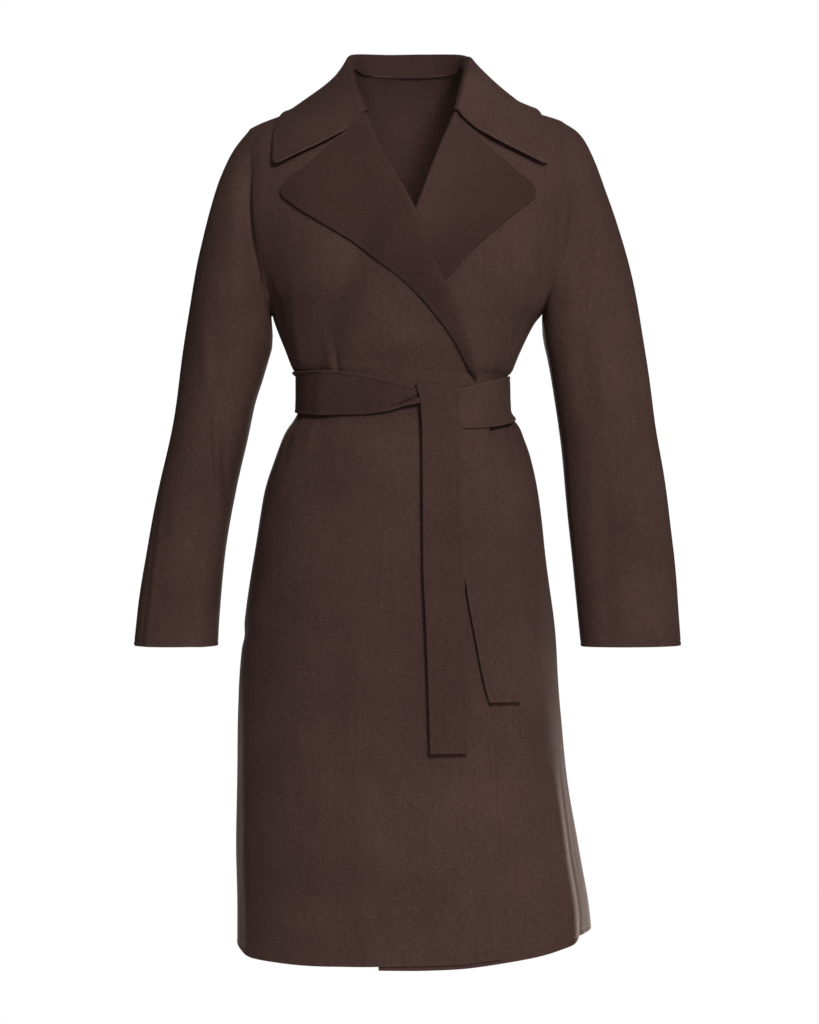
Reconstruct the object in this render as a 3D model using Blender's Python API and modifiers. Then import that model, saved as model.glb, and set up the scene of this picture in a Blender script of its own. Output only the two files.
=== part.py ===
"""Wool wrap coat, worn shape, unlined double-faced cloth.

Metres, +Z up. The coat's front faces -Y. Right and left are the wearer's, so the right side lies at -X.
The origin is where the wearer's shoulders hold the coat, midway between them, and the hem hangs below it.
Every piece is an open surface worked out from the sections below, made a wall of cloth with Solidify.
"""

import math
from collections import namedtuple

import bpy
from mathutils import Vector

# Cloth and seams
CLOTH = 0.0020        # one layer of felted wool
BELT_CLOTH = 0.0025   # the belt, one layer, slightly thicker where it is pressed
SEAM = 0.0003         # gap between two pieces that are sewn together

# Lapels and overlap
ROLL_RADIUS = 0.0038       # the soft roll where a lapel turns back
LAPEL_LIFT = 0.0060        # outer face of a lapel above the inner face of the front that it lies on
OVERLAP_LIFT_CHEST = 0.0094   # right front above the left front and its lapel
OVERLAP_LIFT_SKIRT = 0.0036   # right front above the left front alone
OVERLAP_RAMP = 0.045          # width over which the right front climbs onto the left one
COLLAR_LIFT = 0.0066          # outer face of the collar's fall above the inner face of the body
COLLAR_ROLL = 0.0046          # the collar's roll
STAND_INSET = 0.0022          # foot of the collar's stand inside the neck edge, its wall and a seam

# Form of the body
SQUARE = 2.2          # exponent of every horizontal section: 2 is an ellipse, more is squarer
FRONT_CROWN = -0.200  # height at which the front starts to round over to the shoulder
BACK_CROWN = -0.120   # the same for the back
BACK_ROUND = 2.3      # exponent of the back's curve up to the shoulder
ARMPIT = -0.262       # height of the armholes' lowest points
NECK_X = 0.0715       # where the shoulder seam meets the neck seam
NECK_BACK = 0.0400    # height of the back neck seam
NECK_DIP = 0.0015     # how far that seam dips at centre back

# Colour of the cloth, linear, from a chocolate brown wool
WOOL = (0.055, 0.031, 0.028, 1.0)
WOOL_ROUGHNESS = 0.95

Section = namedtuple("Section", "z right left front back")
BODY = [  # half widths to each side and depths to front and back, inner face
    Section(-1.050, 0.2090, 0.2225, 0.148, 0.146),
    Section(-1.005, 0.2090, 0.2205, 0.147, 0.145),
    Section(-0.922, 0.2100, 0.2070, 0.143, 0.142),
    Section(-0.804, 0.2080, 0.1905, 0.138, 0.138),
    Section(-0.724, 0.2063, 0.1840, 0.135, 0.135),
    Section(-0.651, 0.2005, 0.1778, 0.132, 0.133),
    Section(-0.562, 0.1888, 0.1660, 0.128, 0.131),
    Section(-0.489, 0.1765, 0.1590, 0.122, 0.126),
    Section(-0.441, 0.1615, 0.1505, 0.114, 0.116),
    Section(-0.418, 0.1520, 0.1410, 0.107, 0.106),
    Section(-0.400, 0.1345, 0.1240, 0.099, 0.095),
    Section(-0.365, 0.1310, 0.1195, 0.097, 0.093),
    Section(-0.342, 0.1310, 0.1195, 0.098, 0.094),
    Section(-0.328, 0.1380, 0.1255, 0.102, 0.098),
    Section(-0.308, 0.1478, 0.1352, 0.107, 0.103),
    Section(-0.275, 0.1615, 0.1520, 0.115, 0.111),
    Section(-0.262, 0.1665, 0.1645, 0.118, 0.114),
    Section(-0.240, 0.1800, 0.1785, 0.122, 0.116),
    Section(-0.200, 0.1950, 0.1940, 0.126, 0.118),
    Section(-0.150, 0.2070, 0.2070, 0.127, 0.118),
    Section(-0.100, 0.2120, 0.2120, 0.127, 0.116),
    Section(-0.050, 0.2150, 0.2150, 0.126, 0.114),
    Section(0.040, 0.2160, 0.2160, 0.125, 0.112),
]

Shoulder = namedtuple("Shoulder", "x right left")
SHOULDER = [  # height of the shoulder line at a distance from the middle
    Shoulder(0.000, 0.062, 0.062),
    Shoulder(0.030, 0.059, 0.059),
    Shoulder(0.050, 0.053, 0.053),
    Shoulder(0.060, 0.046, 0.046),
    Shoulder(0.070, 0.035, 0.035),
    Shoulder(0.080, 0.025, 0.026),
    Shoulder(0.100, 0.009, 0.012),
    Shoulder(0.127, -0.008, -0.003),
    Shoulder(0.155, -0.022, -0.017),
    Shoulder(0.185, -0.033, -0.027),
    Shoulder(0.210, -0.046, -0.040),
]

Armhole = namedtuple("Armhole", "z right left")
ARMHOLE = [  # how far out each armhole edge lies
    Armhole(-0.262, 0.1655, 0.1635),
    Armhole(-0.150, 0.1830, 0.1780),
    Armhole(-0.030, 0.1960, 0.1900),
    Armhole(0.050, 0.2030, 0.1960),
]

SideSeam = namedtuple("SideSeam", "z right left")
SIDE_SEAM = [  # angle of the side seams from the centre front, in degrees
    SideSeam(-1.050, 67.0, 72.0),
    SideSeam(-0.900, 68.0, 78.0),
    SideSeam(-0.700, 71.0, 82.0),
    SideSeam(-0.450, 80.0, 84.0),
    SideSeam(-0.300, 87.0, 87.0),
    SideSeam(-0.262, 90.0, 90.0),
]

Hem = namedtuple("Hem", "angle over under")
HEM = [  # height of the hem round the coat, on the overlapping layer and on the one beneath
    Hem(-180.0, -1.0300, -1.0300),
    Hem(-90.0, -1.0385, -1.0385),
    Hem(-62.0, -1.0450, -1.0450),
    Hem(-38.0, -1.0437, -1.0460),
    Hem(0.0, -1.0400, -1.0475),
    Hem(12.0, -1.0390, -1.0465),
    Hem(30.0, -1.0335, -1.0390),
    Hem(42.0, -1.0340, -1.0360),
    Hem(56.0, -1.0297, -1.0297),
    Hem(68.0, -1.0240, -1.0240),
    Hem(90.0, -1.0220, -1.0220),
    Hem(180.0, -1.0300, -1.0300),
]
HEM_FADE = 0.20  # how far above the hem its unevenness dies out

FrontEdge = namedtuple("FrontEdge", "z x")
RIGHT_EDGE = [  # the right front's edge: free edge, roll line and neck seam, from hem to shoulder
    FrontEdge(-1.050, 0.1110),
    FrontEdge(-0.966, 0.1084),
    FrontEdge(-0.872, 0.1049),
    FrontEdge(-0.738, 0.0956),
    FrontEdge(-0.600, 0.0895),
    FrontEdge(-0.450, 0.0835),
    FrontEdge(-0.352, 0.0802),
    FrontEdge(-0.323, 0.0748),
    FrontEdge(-0.285, 0.0627),
    FrontEdge(-0.236, 0.0425),
    FrontEdge(-0.190, 0.0210),
    FrontEdge(-0.150, 0.0080),
    FrontEdge(-0.130, -0.0030),
    FrontEdge(-0.113, -0.0137),
    FrontEdge(-0.095, -0.0242),
    FrontEdge(-0.077, -0.0333),
    FrontEdge(-0.055, -0.0432),
    FrontEdge(-0.033, -0.0535),
    FrontEdge(-0.026, -0.0560),
    FrontEdge(-0.008, -0.0620),
    FrontEdge(0.008, -0.0670),
    FrontEdge(0.034, -0.0715),
]
LEFT_EDGE = [  # the same for the left front, which lies beneath
    FrontEdge(-1.050, -0.0345),
    FrontEdge(-0.900, -0.0380),
    FrontEdge(-0.700, -0.0440),
    FrontEdge(-0.500, -0.0520),
    FrontEdge(-0.352, -0.0640),
    FrontEdge(-0.330, -0.0600),
    FrontEdge(-0.290, -0.0490),
    FrontEdge(-0.250, -0.0345),
    FrontEdge(-0.210, -0.0175),
    FrontEdge(-0.170, -0.0005),
    FrontEdge(-0.144, 0.0108),
    FrontEdge(-0.102, 0.0263),
    FrontEdge(-0.064, 0.0397),
    FrontEdge(-0.028, 0.0530),
    FrontEdge(-0.008, 0.0620),
    FrontEdge(0.008, 0.0670),
    FrontEdge(0.034, 0.0715),
]

Outline = namedtuple("Outline", "x z")
RIGHT_LAPEL = [  # outer edge seen from the front, from the waist up to the rounded tip
    Outline(0.0785, -0.3480),
    Outline(0.0653, -0.3229),
    Outline(0.0510, -0.2992),
    Outline(0.0340, -0.2774),
    Outline(0.0142, -0.2542),
    Outline(-0.0094, -0.2324),
    Outline(-0.0312, -0.2162),
    Outline(-0.0674, -0.1872),
    Outline(-0.1081, -0.1618),
    Outline(-0.1301, -0.1473),
    Outline(-0.1505, -0.1285),
]
LEFT_LAPEL = [
    Outline(-0.0620, -0.3480),
    Outline(-0.0450, -0.3250),
    Outline(-0.0200, -0.2980),
    Outline(0.0120, -0.2650),
    Outline(0.0473, -0.2308),
    Outline(0.0831, -0.1913),
    Outline(0.1204, -0.1586),
    Outline(0.1530, -0.1240),
]

CollarSection = namedtuple("CollarSection", "s foot fold_x fold_y fold_z edge_x edge_y edge_z dip")
COLLAR = [  # centre back to front end: share of the neck seam, crest of the roll, outer edge, hollow of the fall
    CollarSection(0.00, 0.00, 0.0000, 0.0780, 0.0675, 0.000, 0.116, -0.024, 0.000),
    CollarSection(0.15, 0.14, 0.0310, 0.0745, 0.0672, 0.052, 0.110, -0.023, 0.000),
    CollarSection(0.30, 0.27, 0.0585, 0.0620, 0.0655, 0.100, 0.090, -0.022, 0.000),
    CollarSection(0.45, 0.40, 0.0735, 0.0380, 0.0590, 0.137, 0.050, -0.018, 0.001),
    CollarSection(0.58, 0.52, 0.0738, 0.0100, 0.0505, 0.155, 0.006, -0.013, 0.003),
    CollarSection(0.70, 0.64, 0.0714, -0.0200, 0.0380, 0.163, -0.028, -0.035, 0.004),
    CollarSection(0.80, 0.76, 0.0668, -0.0450, 0.0190, 0.165, -0.050, -0.055, 0.004),
    CollarSection(0.90, 0.88, 0.0602, -0.0615, -0.0020, 0.165, -0.064, -0.072, 0.004),
    CollarSection(1.00, 0.99, 0.0580, -0.0705, -0.0220, 0.162, -0.074, -0.084, 0.004),
]
COLLAR_REACH = {"right": 0.985, "left": 1.030}  # the two ends lie a little differently

SleeveRing = namedtuple("SleeveRing", "outer_x outer_z inner_x inner_z y depth back_seam front_seam")
RIGHT_SLEEVE = [  # outer and inner line of the sleeve, its middle and half depth, seams in degrees
    SleeveRing(0.2140, -0.062, 0.1725, -0.268, 0.000, 0.062, -58, 126),
    SleeveRing(0.2295, -0.095, 0.1712, -0.279, 0.000, 0.064, -56, 128),
    SleeveRing(0.2420, -0.134, 0.1700, -0.291, 0.001, 0.066, -53, 131),
    SleeveRing(0.2520, -0.174, 0.1700, -0.304, 0.002, 0.067, -49, 135),
    SleeveRing(0.2630, -0.223, 0.1715, -0.320, 0.003, 0.067, -44, 140),
    SleeveRing(0.2725, -0.279, 0.1770, -0.343, 0.004, 0.066, -37, 146),
    SleeveRing(0.2805, -0.335, 0.1860, -0.374, 0.005, 0.064, -28, 154),
    SleeveRing(0.2890, -0.400, 0.1990, -0.421, 0.004, 0.061, -14, 164),
    SleeveRing(0.3030, -0.4695, 0.2145, -0.483, 0.000, 0.058, 8, 172),
    SleeveRing(0.3190, -0.559, 0.2275, -0.568, -0.012, 0.054, 27, 180),
    SleeveRing(0.3285, -0.629, 0.2322, -0.633, -0.028, 0.051, 38, 186),
    SleeveRing(0.3315, -0.6715, 0.2335, -0.6715, -0.038, 0.049, 43, 190),
]
LEFT_SLEEVE = [
    SleeveRing(0.2105, -0.043, 0.1700, -0.263, 0.000, 0.058, -58, 126),
    SleeveRing(0.2305, -0.075, 0.1690, -0.274, 0.000, 0.060, -57, 127),
    SleeveRing(0.2450, -0.114, 0.1685, -0.287, 0.001, 0.061, -55, 129),
    SleeveRing(0.2585, -0.157, 0.1695, -0.301, 0.002, 0.061, -52, 131),
    SleeveRing(0.2720, -0.207, 0.1715, -0.319, 0.003, 0.060, -49, 134),
    SleeveRing(0.2830, -0.263, 0.1750, -0.343, 0.004, 0.057, -45, 138),
    SleeveRing(0.2925, -0.324, 0.1795, -0.374, 0.005, 0.054, -41, 142),
    SleeveRing(0.3030, -0.394, 0.1865, -0.420, 0.004, 0.051, -36, 147),
    SleeveRing(0.3155, -0.4695, 0.1955, -0.483, 0.000, 0.048, -31, 152),
    SleeveRing(0.3262, -0.560, 0.2040, -0.569, -0.012, 0.044, -27, 157),
    SleeveRing(0.3300, -0.629, 0.2088, -0.632, -0.028, 0.042, -25, 160),
    SleeveRing(0.3315, -0.6725, 0.2120, -0.6725, -0.038, 0.041, -24, 162),
]

Belt = namedtuple("Belt", "angle top bottom lift")
BELT = [  # round the waist from the pinched end at the knot, by the right side and back, to the knot again
    Belt(-348.0, -0.3630, -0.4110, 0.0126),
    Belt(-331.0, -0.3605, -0.4095, 0.0126),
    Belt(-321.0, -0.3545, -0.4075, 0.0126),
    Belt(-304.0, -0.3485, -0.4025, 0.0115),
    Belt(-284.0, -0.3435, -0.3980, 0.0040),
    Belt(-270.0, -0.3415, -0.3955, 0.0036),
    Belt(-180.0, -0.3410, -0.3905, 0.0036),
    Belt(-90.0, -0.3362, -0.3868, 0.0036),
    Belt(-62.0, -0.3370, -0.3910, 0.0044),
    Belt(-40.0, -0.3385, -0.3928, 0.0078),
    Belt(-20.0, -0.3440, -0.3927, 0.0088),
    Belt(-8.0, -0.3510, -0.3890, 0.0110),
    Belt(0.0, -0.3570, -0.3825, 0.0125),
    Belt(6.5, -0.3660, -0.3770, 0.0125),
]

Tail = namedtuple("Tail", "z near far lift")
FRONT_TAIL = [  # the belt's upper end, hanging from its fold over the belt: two edges and height above the body
    Tail(-0.3600, 0.0100, 0.0615, 0.0156),
    Tail(-0.3760, 0.0143, 0.0612, 0.0158),
    Tail(-0.4160, 0.0166, 0.0645, 0.0158),
    Tail(-0.4500, 0.0170, 0.0630, 0.0135),
    Tail(-0.4940, 0.0173, 0.0625, 0.0122),
    Tail(-0.5650, 0.0177, 0.0660, 0.0118),
    Tail(-0.6475, 0.0212, 0.0682, 0.0116),
    Tail(-0.7130, 0.0236, 0.0700, 0.0114),
    Tail(-0.7930, 0.0259, 0.0712, 0.0112),
]
UNDER_TAIL = [  # the belt's lower end, hanging beneath it and swinging to the left
    Tail(-0.3850, 0.0500, 0.0960, 0.0076),
    Tail(-0.4030, 0.0505, 0.0965, 0.0080),
    Tail(-0.4200, 0.0515, 0.0975, 0.0078),
    Tail(-0.4400, 0.0525, 0.0985, 0.0074),
    Tail(-0.5000, 0.0570, 0.1030, 0.0070),
    Tail(-0.5500, 0.0620, 0.1110, 0.0070),
    Tail(-0.6100, 0.0705, 0.1220, 0.0070),
    Tail(-0.6640, 0.0805, 0.1300, 0.0070),
    Tail(-0.7050, 0.0884, 0.1340, 0.0070),
    Tail(-0.7345, 0.0962, 0.1348, 0.0070),
]
TAIL_FOLD_TOP = -0.3585   # inner side of the front tail's fold over the belt
TAIL_FOLD_LIFT = 0.0118   # where the front tail runs behind the belt
TAIL_FOLD_END = -0.3720   # how far down it runs behind the belt

# Rows of the body panels below the armpit, and heights that the rows above it reach at the front edges
LOWER_ROWS = [-1.050, -0.965, -0.880, -0.795, -0.710, -0.625, -0.545, -0.485, -0.441, -0.418,
              -0.400, -0.370, -0.339, -0.322, -0.298, -0.262]
UPPER_ROWS = [-0.222, -0.182, -0.142, -0.102, -0.062, -0.028, -0.010, 0.010, 0.034]
LAPEL_START = {"right": -0.340, "left": -0.310}  # each lapel's lowest row lies above this
GORGE = -0.027            # height at which roll line and neck seam meet
FRONT_COLUMNS = {"right": 13, "left": 11}
BACK_COLUMNS = (7, 6, 7)  # side to neck, across the neck, neck to side
ROLL_STEPS = 4
LAPEL_COLUMNS = 4
COLLAR_STATIONS = 12      # on each side of the centre back
BLENDED_RINGS = 6         # rings over which a sleeve changes from the armhole's shape to its own
UPPER_SLEEVE_COLUMNS = 10
UNDER_SLEEVE_COLUMNS = 8
BELT_COLUMNS = 44
BELT_ROWS = 3


def read(table, key, name, at):
    """Reads a column at a value of the key column, on a smooth curve through the rows."""
    xs = [getattr(row, key) for row in table]
    ys = [getattr(row, name) for row in table]
    at = min(max(at, xs[0]), xs[-1])
    i = max(j for j in range(len(xs) - 1) if xs[j] <= at)
    secants = [(ys[j + 1] - ys[j]) / (xs[j + 1] - xs[j]) for j in range(len(xs) - 1)]
    slopes = []
    for j in range(len(xs)):
        before = secants[max(j - 1, 0)]
        after = secants[min(j, len(secants) - 1)]
        slopes.append(2 * before * after / (before + after) if before * after > 0 else 0.0)
    step = xs[i + 1] - xs[i]
    t = (at - xs[i]) / step
    rise = ys[i + 1] - ys[i]
    start, end = slopes[i] * step, slopes[i + 1] * step
    return ys[i] + t * (start + t * (3 * rise - 2 * start - end + t * (start + end - 2 * rise)))


def mix(a, b, t):
    """The point or number that lies a share t of the way from a to b."""
    return a + (b - a) * t


def ease(t):
    """A share that starts and ends gently."""
    t = min(max(t, 0.0), 1.0)
    return t * t * (3 - 2 * t)


def along(points, share):
    """The point that lies a share of the length along a path."""
    lengths = [(points[i + 1] - points[i]).length for i in range(len(points) - 1)]
    left = share * sum(lengths)
    for i, length in enumerate(lengths):
        if left <= length or i == len(lengths) - 1:
            return mix(points[i], points[i + 1], left / length)
        left -= length


def side_of(x):
    return "left" if x > 0 else "right"


def shoulder_height(x):
    return read(SHOULDER, "x", side_of(x), abs(x))


def front_round(x):
    """Exponent of the front's curve up to the shoulder, flatter in the middle and rounder at the arm."""
    return mix(1.35, 1.9, ease((abs(x) - 0.05) / 0.11))


def crown(x, z, face):
    """How much of its depth the body still has at a height, 1 at the chest and 0 on the shoulder line."""
    foot, power = (FRONT_CROWN, front_round(x)) if face == "front" else (BACK_CROWN, BACK_ROUND)
    share = min(max((z - foot) / (shoulder_height(x) - foot), 0.0), 1.0)
    return (1 - share ** power) ** (1 / power)


def depth(x, z, face):
    """Distance of the body's inner face from the plane of the shoulder line."""
    wide = read(BODY, "z", side_of(x), z)
    across = min(abs(x) / wide, 1.0)
    reach = (1 - across ** SQUARE) ** (1 / SQUARE)
    return read(BODY, "z", face, z) * reach * crown(x, z, face)


def front_point(x, z, lift=0.0):
    """A point seen at x and z from the front, raised off the body's inner face."""
    step = 0.004
    here = depth(x, z, "front")
    slope_x = (depth(x + step, z, "front") - depth(x - step, z, "front")) / (2 * step)
    slope_z = (depth(x, z + step, "front") - depth(x, z - step, "front")) / (2 * step)
    steep = min(math.sqrt(1 + slope_x ** 2 + slope_z ** 2), 1.7)
    return Vector((x, -here - lift * steep, z))


def x_at(angle, z):
    """How far out the body's section lies at an angle from the centre front or back, in degrees."""
    turn = math.sin(math.radians(angle))
    wide = read(BODY, "z", side_of(turn), z)
    return math.copysign(wide * abs(turn) ** (2 / SQUARE), turn)


def angle_at(x, z):
    """The angle from the centre front or back at which the body's section reaches x."""
    wide = read(BODY, "z", side_of(x), z)
    turn = min(abs(x) / wide, 1.0) ** (SQUARE / 2)
    return math.copysign(math.degrees(math.asin(turn)), x)


def ring_point(angle, z, lift):
    """A point on the body's section at a full angle from the centre front, raised off it."""
    turn, ahead = math.sin(math.radians(angle)), math.cos(math.radians(angle))
    wide = read(BODY, "z", side_of(turn), z) + lift
    deep = read(BODY, "z", "front" if ahead > 0 else "back", z) + lift
    x = math.copysign(wide * abs(turn) ** (2 / SQUARE), turn)
    y = -math.copysign(deep * abs(ahead) ** (2 / SQUARE), ahead)
    return Vector((x, y, z))


def overlap_lift(x, z):
    """How far the right front stands off the body where it laps over the left one."""
    chest = ease((-0.080 - z) / 0.06) * OVERLAP_LIFT_CHEST
    lift = mix(chest, OVERLAP_LIFT_SKIRT, ease((-0.305 - z) / 0.030))
    inner_edge = read(LEFT_EDGE, "z", "x", z)
    return lift * ease((x - inner_edge) / OVERLAP_RAMP + 1.15)


def clear_of_body(point, lift):
    """Moves a point out from the body, in its own side view, until it stands off by the lift."""
    face, foot = ("front", FRONT_CROWN) if point.y < 0 else ("back", BACK_CROWN)
    power = front_round(point.x) if face == "front" else BACK_ROUND
    wide = read(BODY, "z", side_of(point.x), point.z)
    reach = (1 - min(abs(point.x) / wide, 0.98) ** SQUARE) ** (1 / SQUARE)
    deep = read(BODY, "z", face, point.z) * reach
    rise = max(point.z - foot, 0.0)
    share = ((abs(point.y) / deep) ** power + (rise / (shoulder_height(point.x) - foot)) ** power) ** (1 / power)
    far = math.hypot(point.y, rise)
    grow = max(1.0, 1 / share + lift / far)
    return Vector((point.x, point.y * grow, min(point.z, foot) + rise * grow))


def cloth(name, rows, thickness, flip=False):
    """Makes a piece of cloth: an open surface through rows of points, given its wall by Solidify."""
    mesh = bpy.data.meshes.new(name)
    verts, starts = [], []
    for row in rows:
        starts.append(len(verts))
        verts.extend(row)
    faces = []
    for i in range(len(rows) - 1):
        for j in range(min(len(rows[i]), len(rows[i + 1])) - 1):
            a, b = starts[i] + j, starts[i + 1] + j
            faces.append((a, b, b + 1, a + 1) if flip else (a, a + 1, b + 1, b))
    mesh.from_pydata([tuple(v) for v in verts], [], faces)
    mesh.shade_smooth()
    piece = bpy.data.objects.new(name, mesh)
    coat.objects.link(piece)
    wall = piece.modifiers.new("cloth", "SOLIDIFY")
    wall.thickness = thickness
    wall.offset = 1.0
    wall.use_even_offset = True
    material = bpy.data.materials.new(name + "_wool")
    material.use_nodes = True
    shader = material.node_tree.nodes["Principled BSDF"]
    shader.inputs["Base Color"].default_value = WOOL
    shader.inputs["Roughness"].default_value = WOOL_ROUGHNESS
    shader.inputs["Metallic"].default_value = 0.0
    mesh.materials.append(material)
    return piece


def hem_height(angle, layer, level):
    """A row's height, which follows the uneven hem near it."""
    fade = ease((LOWER_ROWS[0] + HEM_FADE - level) / HEM_FADE)
    return level + (read(HEM, "angle", layer, angle) - LOWER_ROWS[0]) * fade


def armhole_share(i):
    """Share of the armhole's height that row i above the armpit reaches."""
    return (1 - math.cos(math.pi * i / len(UPPER_ROWS))) / 2


def upper_point(u, armhole, edge, top, arm_share, edge_share):
    """Place seen from front or back, a share u of the way from armhole to edge, above the armpit."""
    share = mix(arm_share, edge_share, u)
    z = mix(ARMPIT, 0.0, share)
    for _ in range(8):
        angle = mix(angle_at(armhole(z), z), angle_at(edge(z), z), u)
        x = x_at(angle, z)
        z = mix(ARMPIT, top(x), share)
    return x, z


def front(side, edge_table, lapel_outline, layer, lift):
    """A front with its lapel cut on: panel rows that run on round the roll line onto the lapel."""
    sign = -1 if side == "right" else 1
    columns = FRONT_COLUMNS[side]
    seam_share = SEAM / 2

    def edge(z):
        return read(edge_table, "z", "x", z)

    def armhole(z):
        return sign * read(ARMHOLE, "z", side, z)

    rows, edges = [], []
    for level in LOWER_ROWS:
        row = []
        for j in range(columns + 1):
            u = j / columns
            seam = sign * read(SIDE_SEAM, "z", side, level)
            angle = mix(seam, angle_at(edge(level), level), u)
            z = hem_height(angle, layer, level)
            x = x_at(angle, z) - (sign * seam_share if j == 0 else 0.0)
            row.append((x, z))
        rows.append(row)
        edges.append(level)
    neck = UPPER_ROWS[-1]
    for i, edge_z in enumerate(UPPER_ROWS, start=1):
        edge_share = (edge_z - ARMPIT) / (neck - ARMPIT)
        row = []
        for j in range(columns + 1):
            row.append(upper_point(j / columns, armhole, edge, shoulder_height, armhole_share(i), edge_share))
        rows.append(row)
        edges.append(edge_z)

    rolled = [z for z in edges if LAPEL_START[side] < z < GORGE + 0.002]
    roll = [Vector((edge(z), 0.0, z)) for z in rolled]
    first = edges.index(rolled[0])
    outline = [Vector((point.x, 0.0, point.z)) for point in lapel_outline]
    total = sum((roll[k + 1] - roll[k]).length for k in range(len(roll) - 1))
    start = (roll[0] - Vector((edge(lapel_outline[0].z), 0.0, lapel_outline[0].z))).length
    grid, walked = [], start
    for i, row in enumerate(rows):
        points = [front_point(x, z, lift(x, z)) for x, z in row]
        if i == len(rows) - 1:
            points = [point + Vector((0.0, -SEAM / 2, 0.0)) for point in points]
        k = i - first
        if 0 <= k < len(roll):
            if k > 0:
                walked += (roll[k] - roll[k - 1]).length
            run = (roll[min(k + 1, len(roll) - 1)] - roll[max(k - 1, 0)]).normalized()
            across = Vector((-run.z, 0.0, run.x)) * sign
            crest = roll[k]
            tip = along(outline, walked / (total + start))
            base = crest - across * ROLL_RADIUS
            shift = base - Vector((points[-1].x, 0.0, points[-1].z))
            for j, point in enumerate(points):
                pull = (j / columns) ** 3
                x, z = point.x + shift.x * pull, point.z + shift.z * pull
                points[j] = front_point(x, z, lift(x, z))
            ground = points[-1]
            out = surface_normal(ground.x, ground.z)
            for step in range(1, ROLL_STEPS + 1):
                turn = math.pi * step / ROLL_STEPS
                points.append(ground + across * ROLL_RADIUS * math.sin(turn)
                              + out * ROLL_RADIUS * (1 - math.cos(turn)))
            width = (tip - base).length
            for step in range(1, LAPEL_COLUMNS + 1):
                share = step / LAPEL_COLUMNS
                spot = mix(base, tip, share)
                rise = mix(2 * ROLL_RADIUS, LAPEL_LIFT, ease(width * share / 0.03))
                points.append(front_point(spot.x, spot.z, lift(spot.x, spot.z) + rise))
        grid.append(points)
    return cloth(side + "_front", grid, CLOTH, flip=side == "left")


def surface_normal(x, z):
    """Direction straight out of the front at a place seen from the front."""
    step = 0.004
    slope_x = (depth(x + step, z, "front") - depth(x - step, z, "front")) / (2 * step)
    slope_z = (depth(x, z + step, "front") - depth(x, z - step, "front")) / (2 * step)
    return Vector((-slope_x, -1.0, -slope_z)).normalized()


def back():
    """The back, one panel from side seam to side seam."""
    to_neck, over_neck, _ = BACK_COLUMNS
    shares = [j / to_neck for j in range(to_neck)] + [1 + j / over_neck for j in range(over_neck)]
    shares += [2 + j / to_neck for j in range(to_neck + 1)]

    def place(share, z, left_angle, right_angle):
        neck = angle_at(NECK_X, z), angle_at(-NECK_X, z)
        if share <= 1:
            return mix(left_angle, neck[0], share)
        if share <= 2:
            return mix(neck[0], neck[1], share - 1)
        return mix(neck[1], right_angle, share - 2)

    grid = []
    for level in LOWER_ROWS:
        row = []
        left = 180 - read(SIDE_SEAM, "z", "left", level)
        right = read(SIDE_SEAM, "z", "right", level) - 180
        for share in shares:
            angle = place(share, level, left, right)
            z = hem_height(180 - angle if angle > 0 else -180 - angle, "over", level)
            row.append(ring_point(180 - angle, z, 0.0))
        row[0].y += SEAM / 2
        row[-1].y += SEAM / 2
        grid.append(row)
    neck_share = len(UPPER_ROWS)
    for i in range(1, neck_share + 1):
        row = []
        inner = math.sin(math.pi / 2 * i / neck_share)
        for share in shares:
            inward = 1 - abs(share - 1.5) / 1.5
            reach = mix(armhole_share(i), inner, inward)
            z = mix(ARMPIT, 0.0, reach)
            for _ in range(8):
                left = angle_at(read(ARMHOLE, "z", "left", z), z)
                right = angle_at(-read(ARMHOLE, "z", "right", z), z)
                x = x_at(place(share, z, left, right), z)
                z = mix(ARMPIT, back_top(x), reach)
            row.append(Vector((x, depth(x, z, "back") + SEAM / 2, z)))
        grid.append(row)
    return cloth("back", grid, CLOTH)


def back_top(x):
    """Height of the back's upper edge: neck seam in the middle, shoulder seam beside it."""
    neck = NECK_BACK - NECK_DIP * (1 - (x / 0.06) ** 2)
    return min(shoulder_height(x), neck) if abs(x) < NECK_X else shoulder_height(x)


def neck_seam(side, edge_table):
    """Half of the neck seam, from the centre back over the shoulder seam to the lapel."""
    sign = -1 if side == "right" else 1
    steps = 8
    seam = []
    for i in range(steps):
        x = sign * NECK_X * i / steps
        seam.append(Vector((x, depth(x, back_top(x), "back"), back_top(x))))
    for i in range(steps + 1):
        z = mix(edge_table[-1].z, GORGE, i / steps)
        x = read(edge_table, "z", "x", z)
        seam.append(Vector((x, -depth(x, z, "front"), z)))
    return seam


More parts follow.
